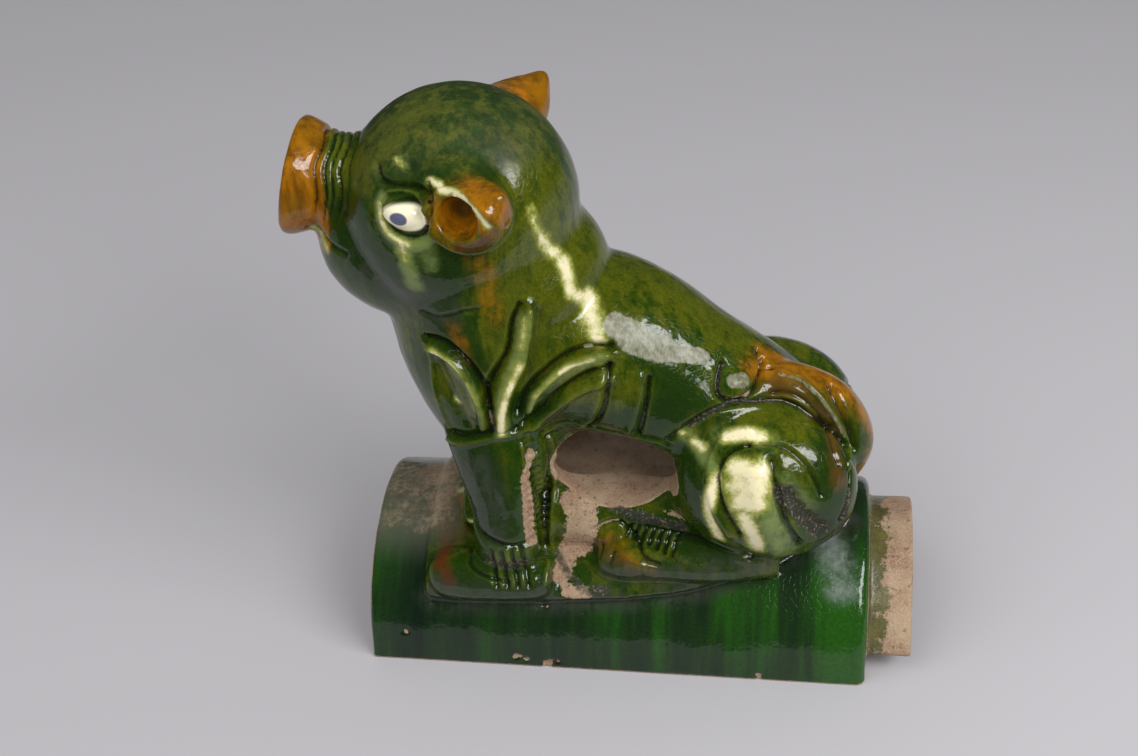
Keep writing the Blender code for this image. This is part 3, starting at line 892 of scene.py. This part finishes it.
def unglazed_share(own):
    """1 on the clay in the window, on the spigot and under the tile, where no glaze ran."""
    bore = (TILE_RADIUS - TILE_WALL) / UNIT
    under = 1 - step(from_axis(own), bore + 0.6, bore + 2.2)
    foot = 1 - step(own[:, 2] + TILE_RADIUS / UNIT, 0.3, 1.2)
    above = own[:, 2] - WINDOW_CENTRE[2]
    oval = np.hypot(own[:, 0] / (WINDOW_LENGTH / 2), above / (WINDOW_HEIGHT / 2)) * UNIT
    through = (1 - step(oval, 1.0, 1.035)) * (own[:, 2] > 5)
    back = step(own[:, 0], TILE_BACK - 0.6, TILE_BACK + 0.2)
    front = 1 - step(own[:, 0], TILE_FRONT, TILE_FRONT + 1.2)
    front = front * (own[:, 2] < 1.5)
    return np.maximum.reduce([under, foot, through, back, front])


def hollow_share(own, hollow_tree):
    """1 on the surface of the hollow, which lies on the shape that cut it."""
    found = np.zeros(len(own))
    inside = np.nonzero((np.abs(own[:, 1]) < HOLLOW_HALF) & (own[:, 2] > 0))[0]
    for i in inside:
        hit = hollow_tree.find_nearest(beast_point(*own[i]), HOLLOW_TOUCH)
        if hit[0] is not None:
            found[i] = 1
    return found


def ledge_share(own):
    """1 along the slab's lower edge on both flanks, where a scratched grey sheen is painted as the floor's
    reflection.
    """
    share = np.zeros(len(own))
    for side in (-1, 1):
        near, away = near_line(own, ledge_line(side, SHEEN_LOWER_DEG), SHEEN_EDGES[1])
        share[near] = 1 - step(away, *SHEEN_EDGES)
    return share


def thin_share(own):
    """1 on the crown before the forelegs, where the glaze is rubbed thin."""
    return (1 - step(own[:, 0], -72, -62)) * (1 - step(np.abs(own[:, 1]), 22, 40)) * (own[:, 2] < 6)


def snout_share(own):
    """1 on the snout's disc and rim, which are amber all round."""
    ahead = 1 - step(own[:, 0] + 0.04 * (own[:, 2] - 143), -111.0, -106.5)
    return ahead * step(own[:, 2] - 0.3 * np.abs(own[:, 0] + 118), 118, 124)


def collar_share(own):
    """1 where glaze ran from the barrel onto the spigot's shoulder."""
    behind = step(own[:, 0], TILE_BACK - 0.5, TILE_BACK + 0.5)
    return behind * (1 - step(own[:, 0], TILE_BACK + 3, TILE_BACK + 12))


def ends_share(own):
    """1 toward both ends of the barrel, where its green is brighter."""
    return step(own[:, 0], 62, 88) + 1 - step(own[:, 0], -100, -84)


def worn_share(own):
    """1 on the weathered top of the skull."""
    high = own[:, 2] - 0.45 * np.abs(own[:, 1]) - 0.25 * (own[:, 0] + 60)
    return step(high, 136, 160) * step(own[:, 0], -100, -88)


def barrel_share(own):
    """1 on the tile's own round, and 0 on all that stands on it."""
    radius = from_axis(own)
    return (1 - step(radius - TILE_RADIUS / UNIT, 1.5, 2.6)) * step(radius, 48, 50)


def paint(item, hollow_tree):
    """Write where each glaze, the bare clay, the dirt and the painted highlights, sheen and shade lie, for
    the material to read.
    """
    mesh = item.data
    own = in_beast_units(coordinates(mesh))
    tree = tree_of(mesh)
    fine = bends(mesh, FINE_REACH)
    broad = bends(mesh, BROAD_REACH)
    inside = hollow_share(own, hollow_tree)
    chipped = step(chip_depths(own), 0.35, 0.7)
    barrel_only = barrel_share(own)
    strokes = {
        "cream": CREAM, "pale_green": PALE_GREEN, "olive": OLIVE, "deep": DEEP, "brown": BROWN,
        "rust": RUST, "silvered_highlight": SILVERED_HIGHLIGHT, "mud": MUD, "shoulder_highlight": SHOULDER_HIGHLIGHT,
    }
    shares = {name: painted(own, tree, lines) for name, lines in strokes.items()}
    shares["bare"] = np.maximum.reduce([unglazed_share(own), inside, painted(own, tree, BARE), chipped])
    shares["amber"] = np.maximum(snout_share(own), painted(own, tree, AMBER))
    shares["floor_sheen"] = np.maximum(ledge_share(own), painted(own, tree, FLOOR_SHEEN))
    shares["thin"] = thin_share(own)
    # The top of the hollow inside is darkened: painted shade.
    shares["hollow_shade"] = inside * step(own[:, 2], 26, 46)
    shares["collar"] = collar_share(own)
    shares["ends"] = ends_share(own)
    shares["worn"] = worn_share(own)
    shares["barrel"] = barrel_only
    # Creases and broad hollows go dark: pooled glaze with painted shade over it.
    shares["pooled_glaze_and_shade"] = step(-fine, 0.10, 0.55) + 0.5 * step(-broad, 0.5, 2.0)
    shares["crest"] = (step(fine, 0.10, 0.5) + 0.4 * step(broad, 0.6, 2.0)) * (1 - 0.8 * barrel_only)
    for name, values in shares.items():
        mask(mesh, name, values)


def glazed_tile():
    """The whole piece: the same masses as the solid, cut and carved finer."""
    tile = barrel()
    for mass in (spigot(), beast(), eyeballs()):
        cut_or_join(tile, mass, "UNION")
    void = hollow()
    hollow_tree = tree_of(void.data)
    for space in (void, window(), channel()):
        cut_or_join(tile, space, "DIFFERENCE")
    run_together(tile, VOXEL, EDGE_PASSES)
    carve(tile)
    relax = tile.modifiers.new("relaxed", "SMOOTH")
    relax.factor = 0.4
    relax.iterations = 1
    bake(tile)
    paint(tile, hollow_tree)
    tile.data.calc_loop_triangles()
    thin = tile.modifiers.new("facets", "DECIMATE")
    thin.ratio = TRIANGLES / len(tile.data.loop_triangles)
    bake(tile)
    tile.data.shade_smooth()
    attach(tile, "root")
    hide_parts("ridge_tile_with_beast")
    return tile


class Nodes:
    """Adds nodes to a tree and links them, with each input given as a socket or a value."""

    def __init__(self, tree):
        self.tree = tree

    def add(self, kind, inputs=None, **settings):
        node = self.tree.nodes.new(kind)
        for name, value in settings.items():
            setattr(node, name, value)
        for name, value in (inputs or {}).items():
            self.feed(node.inputs[name], value)
        return node

    def feed(self, socket, value):
        if isinstance(value, bpy.types.NodeSocket):
            self.tree.links.new(value, socket)
        else:
            socket.default_value = value

    def math(self, operation, *values):
        node = self.add("ShaderNodeMath", operation=operation)
        for socket, value in zip(node.inputs, values):
            self.feed(socket, value)
        return node.outputs[0]

    def between(self, value, low, high):
        node = self.add("ShaderNodeMapRange", {"Value": value, "From Min": low, "From Max": high})
        node.interpolation_type = "SMOOTHSTEP"
        return node.outputs["Result"]

    def mix(self, share, first, second):
        node = self.add("ShaderNodeMix", data_type="RGBA")
        self.feed(node.inputs[0], share)
        self.feed(node.inputs[6], first)
        self.feed(node.inputs[7], second)
        return node.outputs[2]

    def noise(self, vector, scale, detail=3.0, roughness=0.55):
        inputs = {"Vector": vector, "Scale": scale, "Detail": detail, "Roughness": roughness}
        return self.add("ShaderNodeTexNoise", inputs).outputs["Fac"]

    def vector(self, operation, *values, output=0):
        node = self.add("ShaderNodeVectorMath", operation=operation)
        for socket, value in zip(node.inputs, values):
            self.feed(socket, value)
        return node.outputs[output]

    def scaled(self, vector, factor):
        inputs = {0: vector, "Scale": factor}
        return self.add("ShaderNodeVectorMath", inputs, operation="SCALE").outputs[0]

    def times(self, value, factor):
        return self.math("MULTIPLY", value, factor)

    def total(self, first, *others):
        for other in others:
            first = self.math("ADD", first, other)
        return first

    def swing(self, value, amount):
        """A value from 0 to 1 as an unevenness about zero."""
        return self.times(self.math("SUBTRACT", value, 0.5), amount)

    def over(self, colour, tint, share, most=1.0):
        """The colour with a tint over it, as far as the share says."""
        return self.mix(share if most == 1.0 else self.times(share, most), colour, tint)

    def painted(self, name):
        return self.add("ShaderNodeAttribute", attribute_name=name).outputs["Fac"]

    def laid(self, name, unevenness, low, high):
        """A painted mask with its edges made ragged, and nothing where it was not painted."""
        cover = self.painted(name)
        edge = self.add("ShaderNodeClamp", {"Value": self.times(cover, 3.0)}).outputs[0]
        return self.between(self.total(cover, self.math("MULTIPLY", unevenness, edge)), low, high)


def group(name, inputs, outputs):
    """A node group with named sockets, and what is needed to fill it."""
    tree = bpy.data.node_groups.new(name, "ShaderNodeTree")
    for label, kind, value in inputs:
        socket = tree.interface.new_socket(label, in_out="INPUT", socket_type=kind)
        if value is not None:
            socket.default_value = value
    for label, kind in outputs:
        tree.interface.new_socket(label, in_out="OUTPUT", socket_type=kind)
    nodes = Nodes(tree)
    return nodes, nodes.add("NodeGroupInput").outputs, nodes.add("NodeGroupOutput").inputs


FLOAT = "NodeSocketFloat"
VECTOR = "NodeSocketVector"
COLOUR = "NodeSocketColor"

# Colours of the clay, the glazes and the dirt, and of painted highlights, sheen and shade.
BUFF_CLAY = (0.36, 0.25, 0.155, 1)
RED_CLAY = (0.25, 0.135, 0.080, 1)
PALE_GRIT = (0.50, 0.39, 0.26, 1)
PIT = (0.10, 0.06, 0.035, 1)
DARK_GREEN = (0.008, 0.028, 0.001, 1)
FULL_GREEN = (0.024, 0.058, 0.002, 1)
DARK_OLIVE = (0.050, 0.068, 0.002, 1)
LIGHT_OLIVE = (0.100, 0.110, 0.004, 1)
BLUE_GREEN = (0.008, 0.024, 0.003, 1)
STREAK_DARK = (0.004, 0.012, 0.007, 1)
STREAK_GREEN = (0.009, 0.028, 0.007, 1)
STREAK_BRIGHT = (0.016, 0.082, 0.006, 1)
SPECK = (0.005, 0.012, 0.001, 1)
DARK_AMBER = (0.090, 0.026, 0.001, 1)
HONEY = (0.36, 0.125, 0.002, 1)
YELLOW_AMBER = (0.30, 0.14, 0.004, 1)
OLIVE_AMBER = (0.12, 0.075, 0.002, 1)
BROWN_GLAZE = (0.075, 0.040, 0.006, 1)
RED_GLAZE = (0.085, 0.016, 0.003, 1)
EDGE_GREEN = (0.17, 0.20, 0.020, 1)
THIN_GREEN = (0.20, 0.26, 0.075, 1)
FLOOR_SHEEN_GREY = (0.036, 0.042, 0.030, 1)
CREAM_EDGE = (0.27, 0.29, 0.055, 1)
CREAM_CLAY = (0.74, 0.67, 0.42, 1)
SHOULDER_HIGHLIGHT_GREY = (0.26, 0.28, 0.27, 1)
POOLED_GLAZE_AND_SHADE = (0.006, 0.008, 0.003, 1)
SILVERED_HIGHLIGHT_DARK = (0.09, 0.085, 0.030, 1)
SILVERED_HIGHLIGHT_LIGHT = (0.30, 0.30, 0.22, 1)
EYE_CREAM = (0.84, 0.78, 0.56, 1)
EYE_LINE = (0.010, 0.011, 0.010, 1)
PUPIL_BLUE = (0.10, 0.11, 0.18, 1)
RUBBED_GLAZE = (0.085, 0.090, 0.062, 1)
HOLLOW_SHADE = (0.020, 0.014, 0.009, 1)
DARK_MUD = (0.014, 0.015, 0.010, 1)
MUD_GRIT = (0.20, 0.14, 0.085, 1)


def brushed_line_group():
    """A painted line between two points, as a mask."""
    nodes, given, result = group(
        "brushed line",
        [("Place", VECTOR, None), ("From", VECTOR, None), ("To", VECTOR, None), ("Width", FLOAT, 1.0)],
        [("Cover", FLOAT)],
    )
    run = nodes.vector("SUBTRACT", given["To"], given["From"])
    away = nodes.vector("SUBTRACT", given["Place"], given["From"])
    dot = nodes.vector("DOT_PRODUCT", away, run, output="Value")
    size = nodes.vector("DOT_PRODUCT", run, run, output="Value")
    share = nodes.add("ShaderNodeClamp", {"Value": nodes.math("DIVIDE", dot, size)}).outputs[0]
    gap = nodes.vector("SUBTRACT", away, nodes.scaled(run, share))
    distance = nodes.vector("LENGTH", gap, output="Value")
    reach = nodes.math("DIVIDE", distance, given["Width"])
    nodes.feed(result["Cover"], nodes.math("SUBTRACT", 1.0, nodes.between(reach, 0.6, 1.3)))
    return nodes.tree


def mottle_group():
    """Cloudy unevenness of a glaze at three sizes, from 0 to 1."""
    sizes = [("Broad", FLOAT), ("Cloud", FLOAT), ("Speck", FLOAT)]
    nodes, given, result = group("mottle", [("Place", VECTOR, None)], sizes)
    nodes.feed(result["Broad"], nodes.between(nodes.noise(given["Place"], 0.030, 4, 0.6), 0.28, 0.72))
    nodes.feed(result["Cloud"], nodes.between(nodes.noise(given["Place"], 0.13, 6, 0.75), 0.22, 0.78))
    nodes.feed(result["Speck"], nodes.between(nodes.noise(given["Place"], 0.9, 4, 0.75), 0.34, 0.70))
    return nodes.tree


def clay_grain_group():
    """Colour and height of coarse fired clay."""
    looks = [("Colour", COLOUR), ("Height", FLOAT)]
    nodes, given, result = group("clay grain", [("Place", VECTOR, None)], looks)
    cloud = nodes.between(nodes.noise(given["Place"], 0.07, 4, 0.6), 0.36, 0.64)
    grit = nodes.between(nodes.noise(given["Place"], 1.1, 4, 0.7), 0.35, 0.65)
    pits = nodes.between(nodes.noise(given["Place"], 0.42, 3, 0.5), 0.60, 0.70)
    warm = nodes.mix(cloud, BUFF_CLAY, RED_CLAY)
    worn = nodes.over(warm, PALE_GRIT, grit, 0.45)
    nodes.feed(result["Colour"], nodes.over(worn, PIT, pits, 0.55))
    nodes.feed(result["Height"], nodes.math("SUBTRACT", nodes.times(grit, 0.6), pits))
    return nodes.tree


# Dark lines painted round the near eye, and mirrored round the far one, as (half width,
# points of (x, y, z)).
EYE_LINES = [
    (1.1, [(-84.5, -37, 164), (-82.5, -38, 160.8), (-77, -41, 160), (-70, -43, 160.8), (-63.5, -44, 161)]),
    (0.9, [(-63.5, -44, 164), (-61.5, -44.5, 160), (-60.8, -44.5, 155)]),
    (
        1.1,
        [
            (-79.5, -41.5, 147), (-76, -43, 144.6), (-70.5, -44, 143.6),
            (-65.5, -44.6, 145.4), (-62, -44.5, 149.5),
        ],
    ),
    (
        0.5,
        [
            (-81.5, -40.5, 151.5), (-79, -42, 155), (-74, -43, 157.2),
            (-68, -44, 156.8), (-62.5, -44.5, 153.5),
        ],
    ),
]
EYE_CENTRE = (-71.5, -42.5, 151)
EYE_RADII = (9.6, 9, 5.4)
PUPIL_CENTRE = (-73.6, -44.6, 151)
PUPIL_RADII = (3.5, 4.5, 2.7)


def spot(nodes, place, centre, radii):
    """An oval patch, as a mask."""
    scaled = nodes.vector("DIVIDE", nodes.vector("SUBTRACT", place, centre), radii)
    length = nodes.vector("LENGTH", scaled, output="Value")
    return nodes.math("SUBTRACT", 1.0, nodes.between(length, 0.85, 1.08))


def eye_lines(nodes, place, brush):
    cover = None
    for width, points in EYE_LINES:
        for start, end in zip(points, points[1:]):
            line = nodes.add("ShaderNodeGroup", node_tree=brush)
            for name, value in (("Place", place), ("From", start), ("To", end), ("Width", width)):
                nodes.feed(line.inputs[name], value)
            cover = line.outputs[0] if cover is None else nodes.math("MAXIMUM", cover, line.outputs[0])
    return cover


def new_material(name):
    """A material and the shader in it."""
    material = bpy.data.materials.new(name)
    material.use_nodes = True
    return material, material.node_tree.nodes["Principled BSDF"]


class Glaze(Nodes):
    """The nodes of the glazed clay, with the places and unevenness that its layers share."""

    def __init__(self, tree):
        super().__init__(tree)
        here = self.add("ShaderNodeTexCoord").outputs["Object"]
        self.place = self.scaled(self.vector("SUBTRACT", here, CROWN), 1 / UNIT)
        x, y, z = self.add("ShaderNodeSeparateXYZ", {0: self.place}).outputs
        near = self.times(self.math("ABSOLUTE", y), -1.0)
        self.mirrored = self.add("ShaderNodeCombineXYZ", {0: x, 1: near, 2: z}).outputs[0]
        mottle = self.add("ShaderNodeGroup", {0: self.place}, node_tree=mottle_group())
        self.broad, self.cloud, self.speck = mottle.outputs
        self.uneven = self.swing(self.cloud, 0.6)
        self.ragged = self.swing(self.noise(self.place, 0.45, 4, 0.65), 1.1)
        self.drips = self.streaks((0.20, 0.20, 0.035), 5, 0.65)
        self.fine_runs = self.streaks((0.40, 0.05, 0.03), 3)

    def streaks(self, scale, detail, roughness=0.55):
        """Noise drawn out along the axes with the smaller scales."""
        return self.noise(self.vector("MULTIPLY", self.place, scale), 1.0, detail, roughness)


def beast_green(nodes):
    """Green that is deep where it pooled and olive where it thinned."""
    deep_paint = nodes.painted("deep")
    olive_share = nodes.total(
        nodes.painted("olive"),
        nodes.swing(nodes.cloud, 0.5),
        nodes.swing(nodes.broad, 0.5),
        nodes.swing(nodes.between(nodes.drips, 0.35, 0.65), 1.0),
        nodes.times(deep_paint, -0.9),
    )
    deep = nodes.mix(nodes.cloud, DARK_GREEN, FULL_GREEN)
    olive = nodes.mix(nodes.cloud, DARK_OLIVE, LIGHT_OLIVE)
    green = nodes.mix(nodes.between(olive_share, -0.4, 0.9), deep, olive)
    deep_share = nodes.total(deep_paint, nodes.swing(nodes.cloud, 0.5))
    return nodes.over(green, BLUE_GREEN, nodes.between(deep_share, 0.0, 1.0), 0.7)


def barrel_green(nodes):
    """Green that ran down the barrel in wide soft streaks."""
    runs = nodes.streaks((0.065, 0.010, 0.008), 3)
    ends = nodes.times(nodes.painted("ends"), 0.10)
    streak = nodes.total(runs, nodes.swing(nodes.fine_runs, 0.18), ends)
    leaf = nodes.mix(nodes.between(streak, 0.30, 0.52), STREAK_DARK, STREAK_GREEN)
    return nodes.mix(nodes.between(streak, 0.48, 0.72), leaf, STREAK_BRIGHT)


def amber_glaze(nodes):
    """Amber, dark where it is thick and honey-coloured where it ran."""
    honey = nodes.mix(nodes.between(nodes.drips, 0.32, 0.66), DARK_AMBER, HONEY)
    honey = nodes.over(honey, YELLOW_AMBER, nodes.cloud, 0.4)
    return nodes.over(honey, OLIVE_AMBER, nodes.broad, 0.45)


def coloured_glaze(nodes):
    """The glazes in the order they lie: greens, amber and browns, then thin, a painted floor sheen, cream, a
    painted shoulder highlight, and pooled glaze with painted shade.
    """
    uneven = nodes.uneven
    colour = nodes.mix(nodes.painted("barrel"), beast_green(nodes), barrel_green(nodes))
    colour = nodes.over(colour, SPECK, nodes.speck, 0.42)
    amber_share = nodes.laid("amber", uneven, 0.0, 0.8)
    colour = nodes.over(colour, amber_glaze(nodes), amber_share)
    colour = nodes.over(colour, BROWN_GLAZE, nodes.laid("brown", uneven, 0.1, 1.0), 0.85)
    colour = nodes.over(colour, RED_GLAZE, nodes.laid("rust", uneven, 0.1, 0.9), 0.85)
    thinned = nodes.math("MULTIPLY", nodes.painted("crest"), nodes.math("SUBTRACT", 1.0, amber_share))
    colour = nodes.over(colour, EDGE_GREEN, thinned, 0.30)
    colour = nodes.over(colour, THIN_GREEN, nodes.laid("pale_green", uneven, 0.0, 1.0), 0.7)
    # A painted grey sheen, the floor's reflection, broken by scratches.
    scratched = nodes.between(nodes.total(nodes.cloud, nodes.fine_runs), 0.5, 1.3)
    floor_sheen_share = nodes.math("MULTIPLY", nodes.painted("floor_sheen"), scratched)
    colour = nodes.over(colour, FLOOR_SHEEN_GREY, floor_sheen_share, 0.9)
    spotty = nodes.total(uneven, nodes.swing(nodes.speck, 0.15))
    colour = nodes.over(colour, CREAM_EDGE, nodes.laid("cream", spotty, 0.0, 0.6))
    colour = nodes.over(colour, CREAM_CLAY, nodes.laid("cream", spotty, 0.4, 0.95))
    # A painted highlight on the barrel's right shoulder.
    colour = nodes.over(colour, SHOULDER_HIGHLIGHT_GREY, nodes.laid("shoulder_highlight", uneven, 0.0, 1.0), 0.8)
    # Pooled glaze and painted shade in the creases and hollows.
    return nodes.over(colour, POOLED_GLAZE_AND_SHADE, nodes.painted("pooled_glaze_and_shade"), 0.9)


def silvered_and_highlit(nodes, colour):
    """The colour with the patches of silvery, roughened glaze, which also carry painted highlights, and
    where they are.
    """
    fibres = nodes.streaks((0.5, 0.5, 0.16), 5, 0.75)
    share = nodes.between(nodes.total(nodes.painted("silvered_highlight"), nodes.swing(fibres, 0.5)), 0.40, 0.60)
    silvered_highlight = nodes.mix(nodes.between(fibres, 0.3, 0.7), SILVERED_HIGHLIGHT_DARK, SILVERED_HIGHLIGHT_LIGHT)
    return nodes.over(colour, silvered_highlight, share, 0.85), share


def with_eyes(nodes, colour):
    """The colour with the painted eyes."""
    place = nodes.mirrored
    colour = nodes.over(colour, EYE_CREAM, spot(nodes, place, EYE_CENTRE, EYE_RADII))
    colour = nodes.over(colour, EYE_LINE, eye_lines(nodes, place, brushed_line_group()))
    return nodes.over(colour, PUPIL_BLUE, spot(nodes, place, PUPIL_CENTRE, PUPIL_RADII))


def bared(nodes, colour, clay):
    """The colour with the clay showing where no glaze is left, and where that is."""
    ragged = nodes.ragged
    bare = nodes.between(nodes.total(nodes.painted("bare"), ragged), 0.42, 0.58)
    collar = nodes.total(nodes.painted("collar"), ragged, nodes.swing(nodes.cloud, 1.2))
    bare = nodes.math("SUBTRACT", bare, nodes.times(nodes.between(collar, 0.50, 0.75), 0.8))
    thin = nodes.painted("thin")
    rubbed = nodes.between(nodes.total(thin, ragged, nodes.swing(nodes.broad, 0.8)), 0.75, 1.6)
    bare = nodes.math("MAXIMUM", bare, nodes.times(rubbed, 0.8))
    colour = nodes.over(nodes.over(colour, RUBBED_GLAZE, thin, 0.85), clay, bare)
    # Painted shade darkens the top of the hollow inside.
    return nodes.over(colour, HOLLOW_SHADE, nodes.painted("hollow_shade"), 0.85), bare


def muddied(nodes, colour):
    """The colour with gritty mud left in the hollows, and where it is."""
    gritty = nodes.mix(nodes.between(nodes.speck, 0.62, 0.85), DARK_MUD, MUD_GRIT)
    share = nodes.between(nodes.total(nodes.painted("mud"), nodes.ragged), 0.4, 0.8)
    return nodes.over(colour, gritty, share, 0.85), share


def relief(nodes, clay_height, dull):
    """The finest unevenness: ripples, crackle in the glaze and the grain of bare clay."""
    inputs = {"Vector": nodes.place, "Scale": 0.45}
    cells = nodes.add("ShaderNodeTexVoronoi", inputs, feature="DISTANCE_TO_EDGE").outputs[0]
    height = nodes.total(
        nodes.times(nodes.noise(nodes.place, 0.16, 2), 0.5),
        nodes.times(nodes.between(cells, 0.0, 0.03), 0.02),
        nodes.times(nodes.math("MULTIPLY", clay_height, dull), 0.35),
    )
    bump = nodes.add("ShaderNodeBump", {"Height": height, "Strength": 0.6, "Distance": UNIT})
    return bump.outputs[0]


def glazed_clay():
    """Green, amber and cream lead glaze over buff clay."""
    material, shader = new_material("glazed_clay")
    nodes = Glaze(material.node_tree)
    clay = nodes.add("ShaderNodeGroup", {0: nodes.place}, node_tree=clay_grain_group()).outputs
    colour, silvered_highlight_share = silvered_and_highlit(nodes, coloured_glaze(nodes))
    colour, bare_share = bared(nodes, with_eyes(nodes, colour), clay["Colour"])
    colour, mud_share = muddied(nodes, colour)
    dull = nodes.math("MAXIMUM", bare_share, nodes.times(mud_share, 0.7))
    rough = nodes.total(
        nodes.times(nodes.cloud, 0.06),
        nodes.times(nodes.painted("worn"), 0.55),
        nodes.times(silvered_highlight_share, 0.25),
        nodes.times(dull, 0.70),
        0.07,
    )
    nodes.feed(shader.inputs["Base Color"], colour)
    nodes.feed(shader.inputs["Roughness"], rough)
    nodes.feed(shader.inputs["Normal"], relief(nodes, clay["Height"], dull))
    shader.inputs["IOR"].default_value = 1.5
    return material


def seen_in_gloss(nodes, plain, mirrored):
    """The first value, or the second where a glossy surface mirrors it."""
    light_path = nodes.add("ShaderNodeLightPath")
    return nodes.mix(light_path.outputs["Is Glossy Ray"], plain, mirrored)


# The paper lies from just in front of the tile backwards, and the studio beyond is dark.
PAPER_FRONT = -0.165
PAPER_EDGE = 0.01
FLOOR_REACH = 20.0
PALE = (0.44, 0.43, 0.447, 1)
DARK_STUDIO = (0.03, 0.03, 0.032, 1)


def floor():
    """A plain pale surface under the tile, which the glaze mirrors only near the tile."""
    clay = bmesh.new()
    bmesh.ops.create_grid(clay, x_segments=1, y_segments=1, size=FLOOR_REACH)
    made = object_from(clay, "floor")
    material, shader = new_material("pale_paper")
    nodes = Nodes(material.node_tree)
    here = nodes.add("ShaderNodeTexCoord").outputs["Object"]
    depth = nodes.add("ShaderNodeSeparateXYZ", {0: here}).outputs[1]
    paper = nodes.mix(nodes.between(depth, PAPER_FRONT - PAPER_EDGE, PAPER_FRONT), DARK_STUDIO, PALE)
    nodes.feed(shader.inputs["Base Color"], seen_in_gloss(nodes, PALE, paper))
    shader.inputs["Roughness"].default_value = 0.9
    made.data.materials.append(material)


# The studio's plain light, and what a glossy surface mirrors of it. All lamps look at TARGET.
AIR = (0.48, 0.48, 0.49, 1)
AIR_IN_GLOSS = (0.05, 0.05, 0.052, 1)
TARGET = Vector((0, 0, 0.1))


def softbox(name, place, width, height, power, mirrored=True):
    data = bpy.data.lights.new(name, "AREA")
    data.shape = "RECTANGLE"
    data.size = width
    data.size_y = height
    data.energy = power
    made = placed(name, data)
    made.location = place
    made.rotation_euler = (TARGET - Vector(place)).to_track_quat("-Z", "Y").to_euler()
    made.visible_glossy = mirrored


def studio():
    world = bpy.data.worlds.new("studio")
    bpy.context.scene.world = world
    world.use_nodes = True
    nodes = Nodes(world.node_tree)
    background = world.node_tree.nodes["Background"]
    nodes.feed(background.inputs["Color"], seen_in_gloss(nodes, AIR, AIR_IN_GLOSS))
    softbox("key", (0.74, -0.56, 0.88), 0.95, 0.36, 12)
    softbox("low window", (0.72, -0.84, 0.56), 0.20, 0.12, 0.5)
    softbox("fill", (-0.75, -0.75, 1.35), 1.5, 1.2, 12, mirrored=False)


# Where the photograph was taken from, in metres, with the lens of a 36 mm wide film.
CAMERA_PLACE = (0.0807, -0.5884, 0.4970)
CAMERA_FORWARD = Vector((-0.1361, 0.8276, -0.5446))
CAMERA_RIGHT = Vector((0.9867, 0.1623, 0))
CAMERA_ROLL_DEG = 3
CAMERA_LENS = 55


def camera():
    data = bpy.data.cameras.new("camera")
    data.lens = CAMERA_LENS
    data.sensor_width = 36
    made = placed("camera", data)
    back = -CAMERA_FORWARD.normalized()
    right = (CAMERA_RIGHT + back * -CAMERA_RIGHT.dot(back)).normalized()
    turn = Matrix((right, back.cross(right), back)).transposed().to_4x4()
    made.matrix_world = (
        Matrix.Translation(CAMERA_PLACE) @ turn @ Matrix.Rotation(math.radians(-CAMERA_ROLL_DEG), 4, "Z")
    )
    bpy.context.scene.camera = made


def main():
    tile = glazed_tile()
    tile.data.materials.clear()
    tile.data.materials.append(glazed_clay())
    floor()
    studio()
    camera()
    bpy.context.scene.view_settings.view_transform = "Standard"


main()
